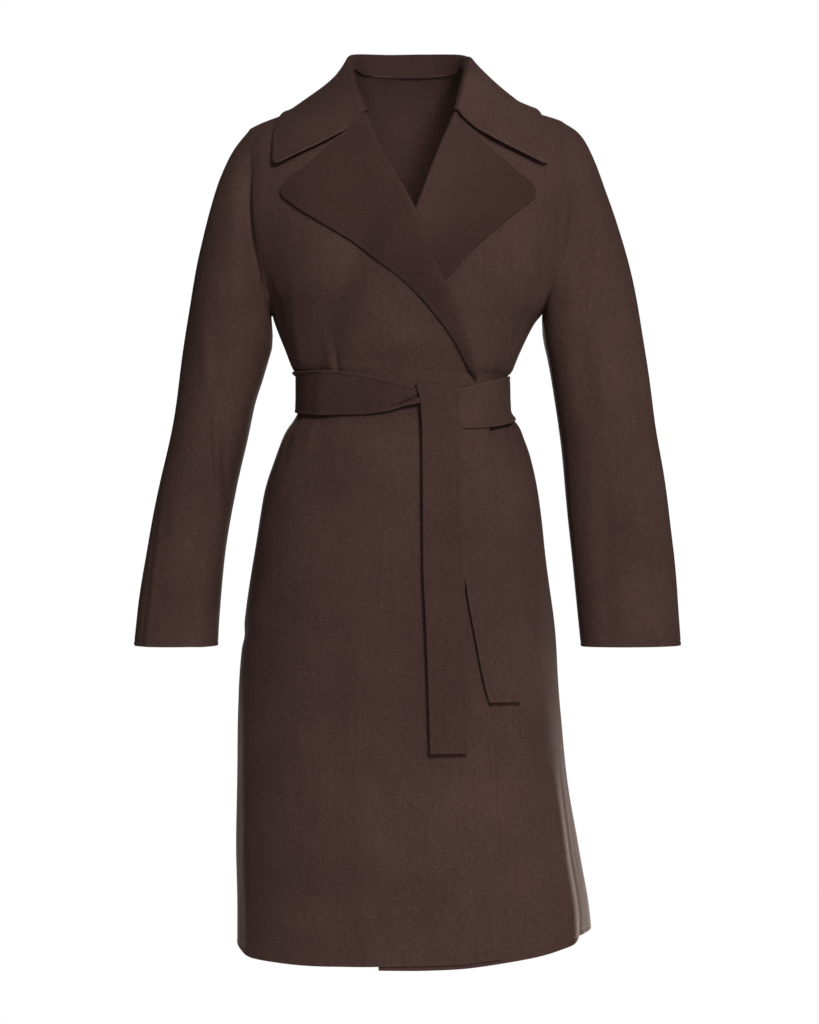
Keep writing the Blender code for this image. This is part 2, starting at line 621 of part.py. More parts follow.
def collar():
    """Stand, roll and fall in one, lofted from the right front end round the neck to the left one."""
    grid = []
    seams = {"right": neck_seam("right", RIGHT_EDGE), "left": neck_seam("left", LEFT_EDGE)}
    for station in range(-COLLAR_STATIONS, COLLAR_STATIONS + 1):
        s = abs(station) / COLLAR_STATIONS
        side = "right" if station < 0 else "left"
        sign = -1 if station < 0 else 1

        def point(part, at):
            spot = Vector([read(COLLAR, "s", part + axis, at) for axis in ("_x", "_y", "_z")])
            spot.x *= sign
            return spot

        fold, rim = point("fold", s), point("edge", s)
        foot_share = read(COLLAR, "s", "foot", s)
        foot = along(seams[side], foot_share)
        ahead = along(seams[side], min(foot_share + 0.03, 1.0)) - along(seams[side], max(foot_share - 0.03, 0.0))
        inward = Vector((ahead.y, -ahead.x, 0.0)).normalized() * sign
        if s < 0.03:
            inward = Vector((0.0, -1.0, 0.0))
        foot += inward * STAND_INSET
        rim.x *= mix(1.0, COLLAR_REACH[side], ease(s))
        run = point("fold", min(s + 0.03, 1.0)) - point("fold", max(s - 0.03, 0.0))
        if s < 0.03:
            run = Vector((sign, 0.0, 0.0))
        up = (fold - foot).normalized()
        out = run.cross(up).normalized() * -sign
        middle = fold - up * COLLAR_ROLL
        row = [foot, mix(foot, middle - out * COLLAR_ROLL, 0.5)]
        for step in range(ROLL_STEPS + 1):
            turn = math.pi * step / ROLL_STEPS
            row.append(middle - out * COLLAR_ROLL * math.cos(turn) + up * COLLAR_ROLL * math.sin(turn))
        start = row[-1]
        hollow = read(COLLAR, "s", "dip", s)
        for step in range(1, 6):
            share = step / 5
            spot = mix(start, rim, share)
            spot.z -= hollow * math.sin(math.pi * share)
            row.append(clear_of_body(spot, COLLAR_LIFT))
        grid.append(row)
    return cloth("collar", grid, CLOTH, flip=True)


def armhole_ring(side, degrees, out):
    """A point round the armhole, from the shoulder over the front and armpit to the back."""
    turn = math.radians(degrees)
    sign = -1 if side == "right" else 1
    share = (1 + math.cos(turn)) / 2
    z = mix(ARMPIT, 0.0, share)
    for _ in range(8):
        x = read(ARMHOLE, "z", side, z)
        z = mix(ARMPIT, shoulder_height(sign * x), share)
    face = "front" if math.sin(turn) > 0 else "back"
    y = depth(sign * x, z, face) * (-1 if face == "front" else 1)
    return Vector((sign * (x + out), y, z))


def sleeve(side, rings):
    """Upper and under sleeve, through rings that fan out round the armpit and then follow the arm."""
    sign = -1 if side == "right" else 1

    def ring_at(k, degrees):
        if k == 0:
            low = ease((1 - math.cos(math.radians(degrees))) / 2 * 1.6 - 0.6)
            return armhole_ring(side, degrees, mix(0.0014, 0.0048, low))
        ring = rings[k - 1]
        outer = Vector((sign * ring.outer_x, 0.0, ring.outer_z))
        inner = Vector((sign * ring.inner_x, 0.0, ring.inner_z))
        cos, sin = math.cos(math.radians(degrees)), math.sin(math.radians(degrees))
        reach = math.copysign(abs(cos) ** (2 / SQUARE), cos)
        ahead = math.copysign(abs(sin) ** (2 / SQUARE), sin)
        spot = (outer + inner) / 2 + (outer - inner) / 2 * reach
        spot.y = mix(armhole_ring(side, degrees, 0.0).y, ring.y - ring.depth * ahead, min(k / BLENDED_RINGS, 1))
        return spot

    seams = [(rings[0].back_seam, rings[0].front_seam)] + [(r.back_seam, r.front_seam) for r in rings]
    for name, columns in (("upper", UPPER_SLEEVE_COLUMNS), ("under", UNDER_SLEEVE_COLUMNS)):
        grid = []
        for k, (back_seam, front_seam) in enumerate(seams):
            start, end = (back_seam, front_seam) if name == "upper" else (front_seam, back_seam + 360)
            gap = math.degrees(SEAM / 2 / 0.05)
            grid.append([ring_at(k, mix(start + gap, end - gap, j / columns)) for j in range(columns + 1)])
        cloth(side + "_sleeve_" + name, grid, CLOTH, flip=side == "right")


def belt():
    """The belt round the waist, and its two hanging ends."""
    grid = []
    for row in range(BELT_ROWS + 1):
        points = []
        for j in range(BELT_COLUMNS + 1):
            angle = mix(BELT[0].angle, BELT[-1].angle, j / BELT_COLUMNS)
            top, bottom = read(BELT, "angle", "top", angle), read(BELT, "angle", "bottom", angle)
            z = mix(bottom, top, row / BELT_ROWS)
            points.append(ring_point(angle, z, read(BELT, "angle", "lift", angle)))
        grid.append(points)
    cloth("belt_waist", grid, BELT_CLOTH)

    for name, table, columns in (("belt_front_tail", FRONT_TAIL, 3), ("belt_under_tail", UNDER_TAIL, 3)):
        grid = []
        if name == "belt_front_tail":
            first = table[0]
            radius = (first.lift - TAIL_FOLD_LIFT) / 2
            behind = [(TAIL_FOLD_END, TAIL_FOLD_LIFT), (TAIL_FOLD_TOP - radius, TAIL_FOLD_LIFT)]
            behind += [(TAIL_FOLD_TOP, TAIL_FOLD_LIFT + radius)]
            for z, lift in behind:
                grid.append([front_point(mix(first.near, first.far, j / columns), z, lift)
                             for j in range(columns + 1)])
        for place in table:
            grid.append([front_point(mix(place.near, place.far, j / columns), place.z, place.lift)
                         for j in range(columns + 1)])
        cloth(name, grid, BELT_CLOTH, flip=True)


for old in list(bpy.data.objects):
    bpy.data.objects.remove(old, do_unlink=True)
coat = bpy.data.collections.new("wool_wrap_coat")
bpy.context.scene.collection.children.link(coat)

back()
front("right", RIGHT_EDGE, RIGHT_LAPEL, "over", overlap_lift)
front("left", LEFT_EDGE, LEFT_LAPEL, "under", lambda x, z: 0.0)
collar()
sleeve("right", RIGHT_SLEEVE)
sleeve("left", LEFT_SLEEVE)
belt()
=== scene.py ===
import math

import bpy
import numpy as np
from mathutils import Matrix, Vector
from mathutils.kdtree import KDTree


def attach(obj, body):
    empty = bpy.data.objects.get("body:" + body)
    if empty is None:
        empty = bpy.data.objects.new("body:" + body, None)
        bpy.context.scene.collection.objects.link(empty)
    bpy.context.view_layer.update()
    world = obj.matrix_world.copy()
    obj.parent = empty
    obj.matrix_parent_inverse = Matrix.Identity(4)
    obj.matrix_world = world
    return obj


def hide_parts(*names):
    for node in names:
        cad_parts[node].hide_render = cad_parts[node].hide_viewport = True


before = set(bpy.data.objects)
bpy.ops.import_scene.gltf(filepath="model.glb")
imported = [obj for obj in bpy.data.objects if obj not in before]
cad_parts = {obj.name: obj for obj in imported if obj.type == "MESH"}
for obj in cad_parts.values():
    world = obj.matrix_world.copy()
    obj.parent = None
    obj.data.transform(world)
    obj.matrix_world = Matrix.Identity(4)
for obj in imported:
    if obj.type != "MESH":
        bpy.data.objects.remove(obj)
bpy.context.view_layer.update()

# Wool wrap coat in its worn shape, unlined double-faced cloth. Metres, +Z up, the front faces -Y.
# Right and left are the wearer's, so the right side lies at -X. The wearer's shoulders hold it at the origin.

cloth = {
    "wall": 0.002,         # one layer of felted wool
    "beltWall": 0.0025,    # the belt is pressed from slightly thicker cloth
    "grid": 0.0048,        # spacing of the points over a piece
    "rim": 0.0011,         # how far in from an edge the felt rounds off
    "edgeShare": 0.14,     # share of its wall that is left at the very edge
    "bead": (0.16, 0.003, 0.0018),  # the turned edge's fullness: share, distance in from the edge and half width
    "stitches": (0.36, 0.0056, 0.0007),  # its hand stitches, which pull the cloth in
    "seamShare": 0.76,     # share of the wall that is left in a seam
    "lean": 0.012,         # distance from a seam over which its cloth turns to lie like its neighbour
}
# points close together where an edge rounds off and is stitched, and where two pieces are sewn together
edgeSteps = [0, 0.00018, 0.0005, 0.0011, 0.002, 0.0032, 0.0044, 0.0051, 0.0056, 0.0061, 0.007, 0.0086, 0.0115]
seamSteps = [0.0001, 0.0005, 0.0011, 0.0022]

form = {
    "square": 2.2,         # exponent of every level section: 2 is an ellipse, more is squarer
    "frontCrown": -0.2,    # height at which the front starts to round over to the shoulder
    "backCrown": -0.12,
    "backRound": 2.3,      # exponent of the back's crown, seen from the side
    "frontRound": {"neck": 1.35, "arm": 1.9, "from": 0.05, "over": 0.11},  # of the front's, from neck to armhole
    "steepest": 1.7,       # most that a lift off a sloping face is drawn out
    "armpit": -0.262,
    "hem": -1.05,          # lowest level, which the hem table below then bends
    "hemFade": 0.2,
    "neckX": 0.0715,       # half width of the back neck, its height at the sides and how much lower its middle lies
    "neckBack": 0.04, "neckDip": 0.0015, "neckRound": 0.06,
}


def metres(table, *plain):
    # a table that is written in millimetres, but for the columns named
    return {name: column if name in plain else [value / 1000 for value in column] for name, column in table.items()}


body = metres({  # half widths to each side and depths to front and back, inner face, narrowest under the belt
    "z": [-1050, -1005, -922, -804, -724, -651, -562, -489, -441, -418, -408, -400, -394, -385, -365, -342, -336,
          -332, -328, -308, -275, -262, -240, -200, -150, -100, -50, 40],
    "right": [209, 209, 210, 208, 206.3, 200.5, 188.8, 176.5, 161, 152.3, 147, 141.2, 137.5, 133.6, 131.8, 133, 138.6,
              141, 142.8, 150, 162.4, 166.5, 180, 195, 207, 212, 215, 216],
    "left": [224.5, 222.2, 208, 190.5, 184, 179.2, 167.8, 159.4, 149, 140.8, 137, 131.8, 126.2, 120.2, 118.4, 119.2,
             125.2, 127.4, 128.8, 136.8, 154, 164.5, 178.5, 194, 207, 212, 215, 216],
    "front": [148, 147, 143, 138, 135, 132, 128, 122, 114, 107, 103, 98.8, 97.2, 97, 97, 98, 99.6, 100.8, 102, 107,
              115, 118, 122, 126, 127, 127, 126, 125],
    "back": [146, 145, 142, 138, 135, 133, 131, 126, 116, 106, 100.5, 96, 94.2, 93.5, 93, 94, 95.6, 96.8, 98, 103,
             111, 114, 116, 118, 118, 116, 114, 112],
})
shoulder = metres({  # height of the shoulder line at a distance from the middle
    "x": [0, 30, 50, 60, 70, 80, 100, 127, 155, 185, 210],
    "right": [62, 59, 53, 45, 33, 22, 5, -10, -22, -33, -46],
    "left": [62, 59, 53, 46, 34, 24, 9.5, -4.5, -17, -27, -40],
})
armhole = metres({  # how far out each armhole edge lies
    "z": [-262, -150, -30, 50],
    "right": [166.4, 183, 196, 203],
    "left": [164.4, 178, 190, 196],
})
sideSeam = metres({  # angle of the side seams from the centre front, in degrees
    "z": [-1050, -900, -700, -450, -300, -262],
    "right": [67, 68, 71, 80, 87, 90],
    "left": [72, 78, 82, 84, 87, 90],
}, "right", "left")
hem = metres({  # height of the hem round the coat, on the overlapping layer and on the one beneath
    "angle": [-180, -90, -62, -38, 0, 12, 30, 42, 56, 68, 90, 180],
    "over": [-1030, -1038.5, -1046.2, -1046, -1041.8, -1040.8, -1036, -1035.5, -1031.5, -1022.8, -1021, -1030],
    "under": [-1030, -1038.5, -1046.2, -1047.2, -1047.8, -1046.8, -1041.2, -1037.8, -1031.5, -1022.8, -1021, -1030],
}, "angle")


def smoothCurve(keys, values):
    # a smooth line through the points that never swings past them; it reads whole arrays
    keys, values = np.array(keys, float), np.array(values, float)
    spare = (1,) * (values.ndim - 1)
    secants = np.diff(values, axis=0) / np.diff(keys).reshape((-1,) + spare)
    before, after = np.concatenate([secants[:1], secants]), np.concatenate([secants, secants[-1:]])
    total = before + after
    slopes = np.where(before * after > 0, 2 * before * after / np.where(total == 0, 1, total), 0)

    def readAt(at):
        at = np.clip(np.asarray(at, float), keys[0], keys[-1])
        i = np.clip(np.searchsorted(keys, at, side="right") - 1, 0, len(keys) - 2)
        step = (keys[i + 1] - keys[i]).reshape(at.shape + spare)
        t = (at - keys[i]).reshape(at.shape + spare) / step
        rise, start, end = values[i + 1] - values[i], slopes[i] * step, slopes[i + 1] * step
        return values[i] + t * (start + t * (3 * rise - 2 * start - end + t * (start + end - 2 * rise)))

    return readAt


def curvesOf(table):
    # one smooth curve for each column, read at a value of the first column
    names = list(table)
    return {name: smoothCurve(table[names[0]], table[name]) for name in names[1:]}


def ease(t):
    t = np.clip(t, 0, 1)
    return t * t * (3 - 2 * t)


def mix(a, b, t):
    return a + (b - a) * t


def placed(*coordinates):
    return np.stack(np.broadcast_arrays(*coordinates), axis=-1)


def unit(v):
    return v / np.maximum(np.linalg.norm(v, axis=-1, keepdims=True), 1e-9)


bodyAt, shoulderAt, armholeAt, sideSeamAt, hemAt = map(curvesOf, (body, shoulder, armhole, sideSeam, hem))


signs = {"right": -1, "left": 1}  # which way each side of the coat lies from its middle


def bySide(curves, x, at):
    return np.where(np.asarray(x) > 0, curves["left"](at), curves["right"](at))


def signedPower(value, power):
    return np.sign(value) * np.abs(value) ** power


def shoulderHeight(x):
    return bySide(shoulderAt, x, np.abs(x))


def crownPower(x, face):
    front = form["frontRound"]
    toArm = ease((np.abs(x) - front["from"]) / front["over"])
    return mix(front["neck"], front["arm"], toArm) if face == "front" else form["backRound"]


def reachAt(x, z, most=1):
    # share of its greatest depth that a level section of the body has at x
    across = np.minimum(np.abs(x) / bySide(bodyAt, x, z), most)
    return (1 - across ** form["square"]) ** (1 / form["square"])


def depthAt(x, z, face):
    # distance of the body's inner face from the plane of the shoulder line
    foot = form["frontCrown" if face == "front" else "backCrown"]
    power = crownPower(x, face)
    share = np.clip((z - foot) / (shoulderHeight(x) - foot), 0, 1)
    return bodyAt[face](z) * reachAt(x, z) * (1 - share ** power) ** (1 / power)


def slopesAt(x, z):
    # how steeply the front's inner face falls away sideways and upwards
    step = 0.004
    return ((depthAt(x + step, z, "front") - depthAt(x - step, z, "front")) / (2 * step),
            (depthAt(x, z + step, "front") - depthAt(x, z - step, "front")) / (2 * step))


def frontPoint(x, z, lift):
    # a point seen at x and z from the front, raised off the body's inner face
    slopeX, slopeZ = slopesAt(x, z)
    steep = np.minimum(np.sqrt(1 + slopeX ** 2 + slopeZ ** 2), form["steepest"])
    return placed(x, -depthAt(x, z, "front") - lift * steep, z)


def frontOut(x, z):
    slopeX, slopeZ = slopesAt(x, z)
    return unit(placed(-slopeX, -1, -slopeZ))


def xAt(angle, z):
    # how far out the body's section lies at an angle from the centre front or back
    turn = np.sin(np.radians(angle))
    return bySide(bodyAt, turn, z) * signedPower(turn, 2 / form["square"])


def angleAt(x, z):
    turn = np.minimum(np.abs(x) / bySide(bodyAt, x, z), 1) ** (form["square"] / 2)
    return np.sign(x) * np.degrees(np.arcsin(turn))


def ringPoint(angle, z, lift):
    # a point on the body's section at a full angle from the centre front, raised off it
    turn, ahead = np.sin(np.radians(angle)), np.cos(np.radians(angle))
    wide = bySide(bodyAt, turn, z) + lift
    deep = np.where(ahead > 0, bodyAt["front"](z), bodyAt["back"](z)) + lift
    return placed(wide * signedPower(turn, 2 / form["square"]), -deep * signedPower(ahead, 2 / form["square"]), z)


def pathLength(points, axis=0):
    run = np.cumsum(np.linalg.norm(np.diff(points, axis=axis), axis=-1), axis=axis)
    return np.concatenate([np.zeros_like(np.take(run, [0], axis)), run], axis=axis)


def along(points, share):
    # points that lie shares of the length along a path
    run = pathLength(points)
    return np.stack([np.interp(np.asarray(share) * run[-1], run, points[:, k]) for k in range(points.shape[1])], -1)


def spaced(total, step, first=(0,), last=(0,), count=None):
    # places from 0 to total at even steps, with given closer ones at either end
    first, last = np.array(first, float), np.array(last, float)
    fit = min(1, 0.42 * total / max(first[-1], last[-1], 1e-9))
    first, last = first * fit, total - last[::-1] * fit
    count = count or max(int(round((last[0] - first[-1]) / step)), 1)
    return np.concatenate([first[:-1], np.linspace(first[-1], last[0], count + 1), last[1:]])


def evenRows(params, points, step, first=(0,), last=(0,)):
    # values of the parameter at even steps along the longest of a few lines
    lengths = np.linalg.norm(np.diff(points, axis=0), axis=-1).max(axis=1)
    run = np.concatenate([[0], np.cumsum(lengths)])
    return np.interp(spaced(run[-1], step, first, last), run, params)


def evenColumns(params, points, count, first=(0,), last=(0,)):
    # for each row, values of the parameter at even steps along it
    rows = []
    for row in points:
        run = pathLength(row)
        rows.append(np.interp(spaced(run[-1], 1, first, last, count), run, params))
    return np.array(rows)


def roundCorner(points, radius):
    # rounds the last corner of a grid, by turning its last square of cloth into a quarter disc
    grid = points[::-1, ::-1]
    p, q = pathLength(grid, 1), pathLength(grid)
    near = (np.argmin(np.abs(q[:, 0] - radius)), np.argmin(np.abs(p[0] - radius)))
    acrossRow = unit(grid[0, 0] - grid[0, near[1]])
    acrossColumn = unit(grid[0, 0] - grid[near[0], 0])
    a, b = np.clip(1 - p / radius, 0, 1), np.clip(1 - q / radius, 0, 1)
    shiftA = a * np.sqrt(1 - b * b / 2) - a
    shiftB = b * np.sqrt(1 - a * a / 2) - b
    grid += radius * (shiftA[..., None] * acrossRow + shiftB[..., None] * acrossColumn)
    return points


# The soft folds. A row is the line of one fold over the body: from one end to the other its angle round the body in
# degrees and its height, how far it bends aside, its half width and depth, and its strength at either end, lengths in
# millimetres. Below zero it is a ridge. Every layer follows the same folds, so the layers stay clear of each other.
bodyFolds = [
    # the armholes: a valley at the right, filled out at the left, and both filled out a little at the back
    (-59, -70, -75, -240, 4, 10, 4, 0.2, 0.8), (-50, -40, -66, -230, 4, 22, -3, 0.5, 0.3),
    (52, -50, 74, -250, 2, 20, -7, 0.6, 0.5), (52, -120, 78, -262, 2, 6, 1.2, 0.2, 1),
    (-122, -70, -106, -250, -4, 20, -4.5, 0.5, 0.3), (122, -70, 106, -250, 4, 20, -4.5, 0.5, 0.3),
    # the bodice, drawn in to the belt
    (-60, -215, -78, -330, 4, 11, 3.6, 0.2, 0.8), (-44, -225, -63, -325, 3, 10, -1.4, 0.3, 0.8),
    (-36.2, -346, -33.4, -306, 1, 3, 3.6, 1, 0.1), (-40, -346, -37, -280, 2, 8, -1.6, 1, 0.1),
    (-22, -346, -12, -290, 2, 7, 0.8, 1, 0.1), (50, -165, 60, -250, -4, 7, 1.6, 0.1, 0.4),
    (38, -185, 67, -300, -10, 8, 1.4, 0.1, 0.7), (74, -338, 60, -280, 2, 6, 1.8, 1, 0.1),
    (56, -345, 48, -300, 2, 6, -1.2, 1, 0.1),
    # the skirt below the belt, and a crease across its right side
    (-70, -392, -60, -470, 3, 9, 2, 1, 0), (-50, -396, -44, -450, 2, 7, -1.2, 1, 0),
    (-28, -398, -22, -470, 2, 10, 1, 1, 0), (36, -402, 31, -520, 2, 6, -1.4, 1, 0),
    (62, -400, 57, -452, 1, 4, 2.4, 1, 0.1), (54, -400, 51, -470, 1, 6, -1.4, 1, 0.1),
    (-96, -664, -58, -657, -2, 10, 2.2, 0.6, 0), (-80, -700, -74, -1030, 4, 20, 2.2, 0.1, 0.8),
    (84, -760, 74, -1020, 4, 18, 3, 0, 1), (62, -790, 60, -1030, 0, 12, -3.6, 0, 1),
    (71, -780, 68, -1030, 0, 7, 2.4, 0, 1),
    # the back: gathers above and below the belt, and long soft folds in the skirt
    (164, -342, 160, -250, 4, 9, 3.4, 1, 0), (150, -342, 138, -220, 6, 11, 3, 1, 0),
    (128, -340, 118, -240, 4, 10, 3.6, 1, 0), (-158, -342, -152, -230, -5, 10, 3.4, 1, 0),
    (-140, -340, -127, -250, -4, 9, 3, 1, 0), (-118, -338, -110, -260, -2, 9, 3.2, 1, 0),
    (156, -392, 158, -560, 3, 11, 3, 1, 0), (134, -392, 130, -480, 3, 8, 2.6, 1, 0),
    (-166, -392, -168, -520, -3, 10, 2.8, 1, 0), (-145, -390, -142, -600, 4, 12, 3.2, 1, 0),
    (-120, -390, -114, -470, 2, 8, 2.4, 1, 0), (150, -700, 146, -1020, 6, 30, 5, 0, 1),
    (-160, -640, -157, -1020, -4, 34, 5.5, 0, 1), (-124, -760, -120, -1030, 4, 26, 4.5, 0, 1),
    (112, -760, 108, -1030, 4, 26, 4.5, 0, 1),
]
foldForm = {
    "swell": 0.35, "ebb": 0.4,  # shares of its length in which a fold grows and sinks again
    "fade": 0.12,          # and in which it dies out past its ends
    "round": 0.165,        # the body's mean radius, which turns an angle into a distance
    "beltTop": -0.356, "beltBottom": -0.378, "beltFade": 0.01,  # no fold runs on beneath the middle of the belt
}
waves = {  # the cloth's own slight waviness, a few long waves through space that mostly run upright
    "length": [0.163, 0.121, 0.094, 0.078, 0.061, 0.047, 0.038],
    "turn": [12, 71, 128, 40, 97, 155, 63],
    "slant": [0.35, -0.22, 0.18, -0.55, 0.42, -0.3, 0.25],
    "shift": [0.4, 2.2, 3.9, 5.1, 1.3, 0.2, 4.4],
    "height": [0.00042, 0.00034, 0.00028, 0.0002, 0.00014, 0.0001, 0.00008],
}


def foldDepth(folds, a, b, scale=0.001):
    # how far the folds push a place in, at a distance round or across and a height
    swell, ebb, fade = foldForm["swell"], foldForm["ebb"], foldForm["fade"]
    total = np.zeros(np.broadcast(a, b).shape)
    for at, z, toAt, toZ, bend, width, depth, start, end in folds:
        z, toZ, bend, width, depth = (length / 1000 for length in (z, toZ, bend, width, depth))
        away, above, wide, high = a - at * scale, b - z, (toAt - at) * scale, toZ - z
        run = math.hypot(wide, high)
        t = (away * wide + above * high) / run ** 2
        inside = np.clip(t, 0, 1)
        aside = (away * high - above * wide) / run - bend * 4 * inside * (1 - inside)
        strength = mix(start, 1, ease(t / swell)) * mix(1, end, ease((t - 1 + ebb) / ebb))
        strength = strength * ease(1 + t / fade) * ease(1 + (1 - t) / fade)
        total += depth * strength * np.exp(-(aside / width) ** 2)
    return total


def bodyDents(points):
    # how far a place on the body is pushed in by its folds, which die out where the belt covers them
    x, y, z = np.moveaxis(points, -1, 0)
    angle = angleAt(x, z)
    angle = np.where(y > 0, np.where(x > 0, 180 - angle, -180 - angle), angle)
    fade, degree = foldForm["beltFade"], math.radians(1) * foldForm["round"]
    free = np.maximum(ease((z - foldForm["beltTop"]) / fade), ease((foldForm["beltBottom"] - z) / fade))
    return foldDepth(bodyFolds, angle * degree, z, degree) * free


def waviness(points):
    total = np.zeros(points.shape[:-1])
    for length, turn, slant, shift, height in zip(*waves.values()):
        across = np.array([math.cos(math.radians(turn)), math.sin(math.radians(turn)), slant])
        total += height * np.sin(points @ across * (2 * math.pi / length) + shift)
    return total


def bodyOut(points):
    # level direction straight out of the body
    x, y, z = np.moveaxis(points, -1, 0)
    wide = bySide(bodyAt, x, z)
    deep = np.where(y > 0, bodyAt["back"](z), bodyAt["front"](z))
    power = form["square"] - 1
    return unit(placed(signedPower(x / wide, power) / wide, signedPower(y / deep, power) / deep, 0))


def creased(points, share=1):
    # the points, pushed in by the body's folds
    return points - bodyOut(points) * bodyDents(points)[..., None] * share


def linear(colour):
    # an sRGB hex value becomes the linear colour that a shader takes
    parts = [int(colour[i:i + 2], 16) / 255 for i in (1, 3, 5)]
    return tuple(c / 12.92 if c <= 0.04045 else ((c + 0.055) / 1.055) ** 2.4 for c in parts) + (1.0,)


def addNode(tree, kind, settings=None, links=None):
    # one shader node, with the settings of its own and of its sockets, and the outputs that feed it
    made = tree.nodes.new(kind)
    for name, value in (settings or {}).items():
        if name in made.inputs:
            made.inputs[name].default_value = value
        else:
            setattr(made, name, value)
    for name, output in (links or {}).items():
        tree.links.new(output, made.inputs[name])
    return made


wool = {
    "dark": "#352322", "middle": "#432f2b", "light": "#553f38",
    "depth": "#200c0a",    # painted shade: the colour the wool is darkened towards where the shade attribute is below 1
    "stops": (0.35, 0.5, 0.66),  # where the three browns lie in the mottle
    "edge": "#6b5049",     # painted highlight along a turned edge, its strength and width
    "paintedEdgeHighlight": 0.32, "edgeWidth": 0.0016,
    "patch": 0.1,          # metres across one of the broad, faint changes of tone, and their share in the mottle
    "patches": 0.22,
    "fibre": 0.0016,       # spun fibres are finer, and are drawn as coarse as they still show
    "streak": 0.006,       # uneven yarns of the warp, drawn out along the cloth, and their share
    "drawnOut": 0.14, "streaks": 0.16,
    "napAndPaintedShade": 0.0011,         # raised nap of the milled face
    "napHeight": 0.0003, "napStrength": 0.6,
    "roughness": 0.92, "specular": 0.2,
    "sheen": 0.06, "sheenRoughness": 0.5, "sheenTint": "#a07c70",
}


def woolMaterial(name, s):
    # melange wool, spun from fibres of a few browns, woven, then milled and brushed to a felted face: a matt, faintly
    # mottled cloth with a slight sheen; a painted highlight lightens it along turned edges and a painted shade
    # darkens it where an attribute asks
    material = bpy.data.materials.new(name)
    material.use_nodes = True
    tree = material.node_tree
    shader = tree.nodes["Principled BSDF"]
    for socket, value in (("Roughness", s["roughness"]), ("Specular IOR Level", s["specular"]),
                          ("Sheen Weight", s["sheen"]), ("Sheen Roughness", s["sheenRoughness"]),
                          ("Sheen Tint", linear(s["sheenTint"]))):
        shader.inputs[socket].default_value = value
    place = addNode(tree, "ShaderNodeTexCoord").outputs["Object"]

    def noise(size, detail, at=place, roughness=0.5):
        settings = {"Scale": 1 / s[size], "Detail": detail, "Roughness": roughness}
        return addNode(tree, "ShaderNodeTexNoise", settings, {"Vector": at}).outputs["Fac"]

    def blend(share, first, second):
        settings = {"data_type": "FLOAT", "Factor": s[share]}
        return addNode(tree, "ShaderNodeMix", settings, {"A": first, "B": second}).outputs["Result"]

    drawn = addNode(tree, "ShaderNodeMapping", {"Scale": (1, 1, s["drawnOut"])}, {"Vector": place}).outputs["Vector"]
    yarn = blend("streaks", noise("fibre", 3.0, roughness=0.7), noise("streak", 4.0, drawn, 0.7))
    ramp = addNode(tree, "ShaderNodeValToRGB", None, {"Fac": blend("patches", yarn, noise("patch", 3.0))})
    stops = ramp.color_ramp.elements
    stops[0].position, stops[1].position = s["stops"][0], s["stops"][2]
    stops[0].color, stops[1].color = linear(s["dark"]), linear(s["light"])
    stops.new(s["stops"][1]).color = linear(s["middle"])
    # painted shade: an attribute below 1 darkens the wool towards the depth colour; painted highlight: a lighter
    # colour near a free edge
    paintedShadeShare = addNode(tree, "ShaderNodeAttribute", {"attribute_name": "napAndPaintedShade"})
    toEdge = addNode(tree, "ShaderNodeAttribute", {"attribute_name": "toEdge"})
    paintedEdgeHighlight = addNode(tree, "ShaderNodeMapRange",
                     {"From Min": 0.0, "From Max": s["edgeWidth"], "To Min": s["paintedEdgeHighlight"], "To Max": 0.0},
                     {"Value": toEdge.outputs["Fac"]})
    # sockets 0, 6 and 7 of a colour mix are its factor and its two colours, and output 2 is the mixed one
    paintedShadeMix, colour = (addNode(tree, "ShaderNodeMix", {"data_type": "RGBA"}) for _ in range(2))
    paintedShadeMix.inputs[6].default_value, colour.inputs[7].default_value = linear(s["depth"]), linear(s["edge"])
    bump = addNode(tree, "ShaderNodeBump", {"Strength": s["napStrength"], "Distance": s["napHeight"]},
                   {"Height": noise("napAndPaintedShade", 2.0)})
    for output, socket in ((paintedShadeShare.outputs["Fac"], paintedShadeMix.inputs[0]), (ramp.outputs["Color"], paintedShadeMix.inputs[7]),
                           (paintedEdgeHighlight.outputs["Result"], colour.inputs[0]), (paintedShadeMix.outputs[2], colour.inputs[6]),
                           (colour.outputs[2], shader.inputs["Base Color"]),
                           (bump.outputs["Normal"], shader.inputs["Normal"])):
        tree.links.new(output, socket)
    return material


coatWool = woolMaterial("milledMelangeWool", wool)
# the belt's painted edge highlight is a little darker
beltWool = woolMaterial("pressedMelangeWool", dict(wool, napHeight=0.00024, edge="#5c453f"))
print("cloth: materials made")


def treeOf(points):
    tree = KDTree(len(points))
    for i, point in enumerate(points):
        tree.insert(point, i)
    tree.balance()
    return tree


def wholeGrid(points):
    # a grid without gaps: where it has cloth, and where that is a free edge, which the piece then fills in
    have = np.ones(points.shape[:2], bool)
    return have, np.zeros_like(have)


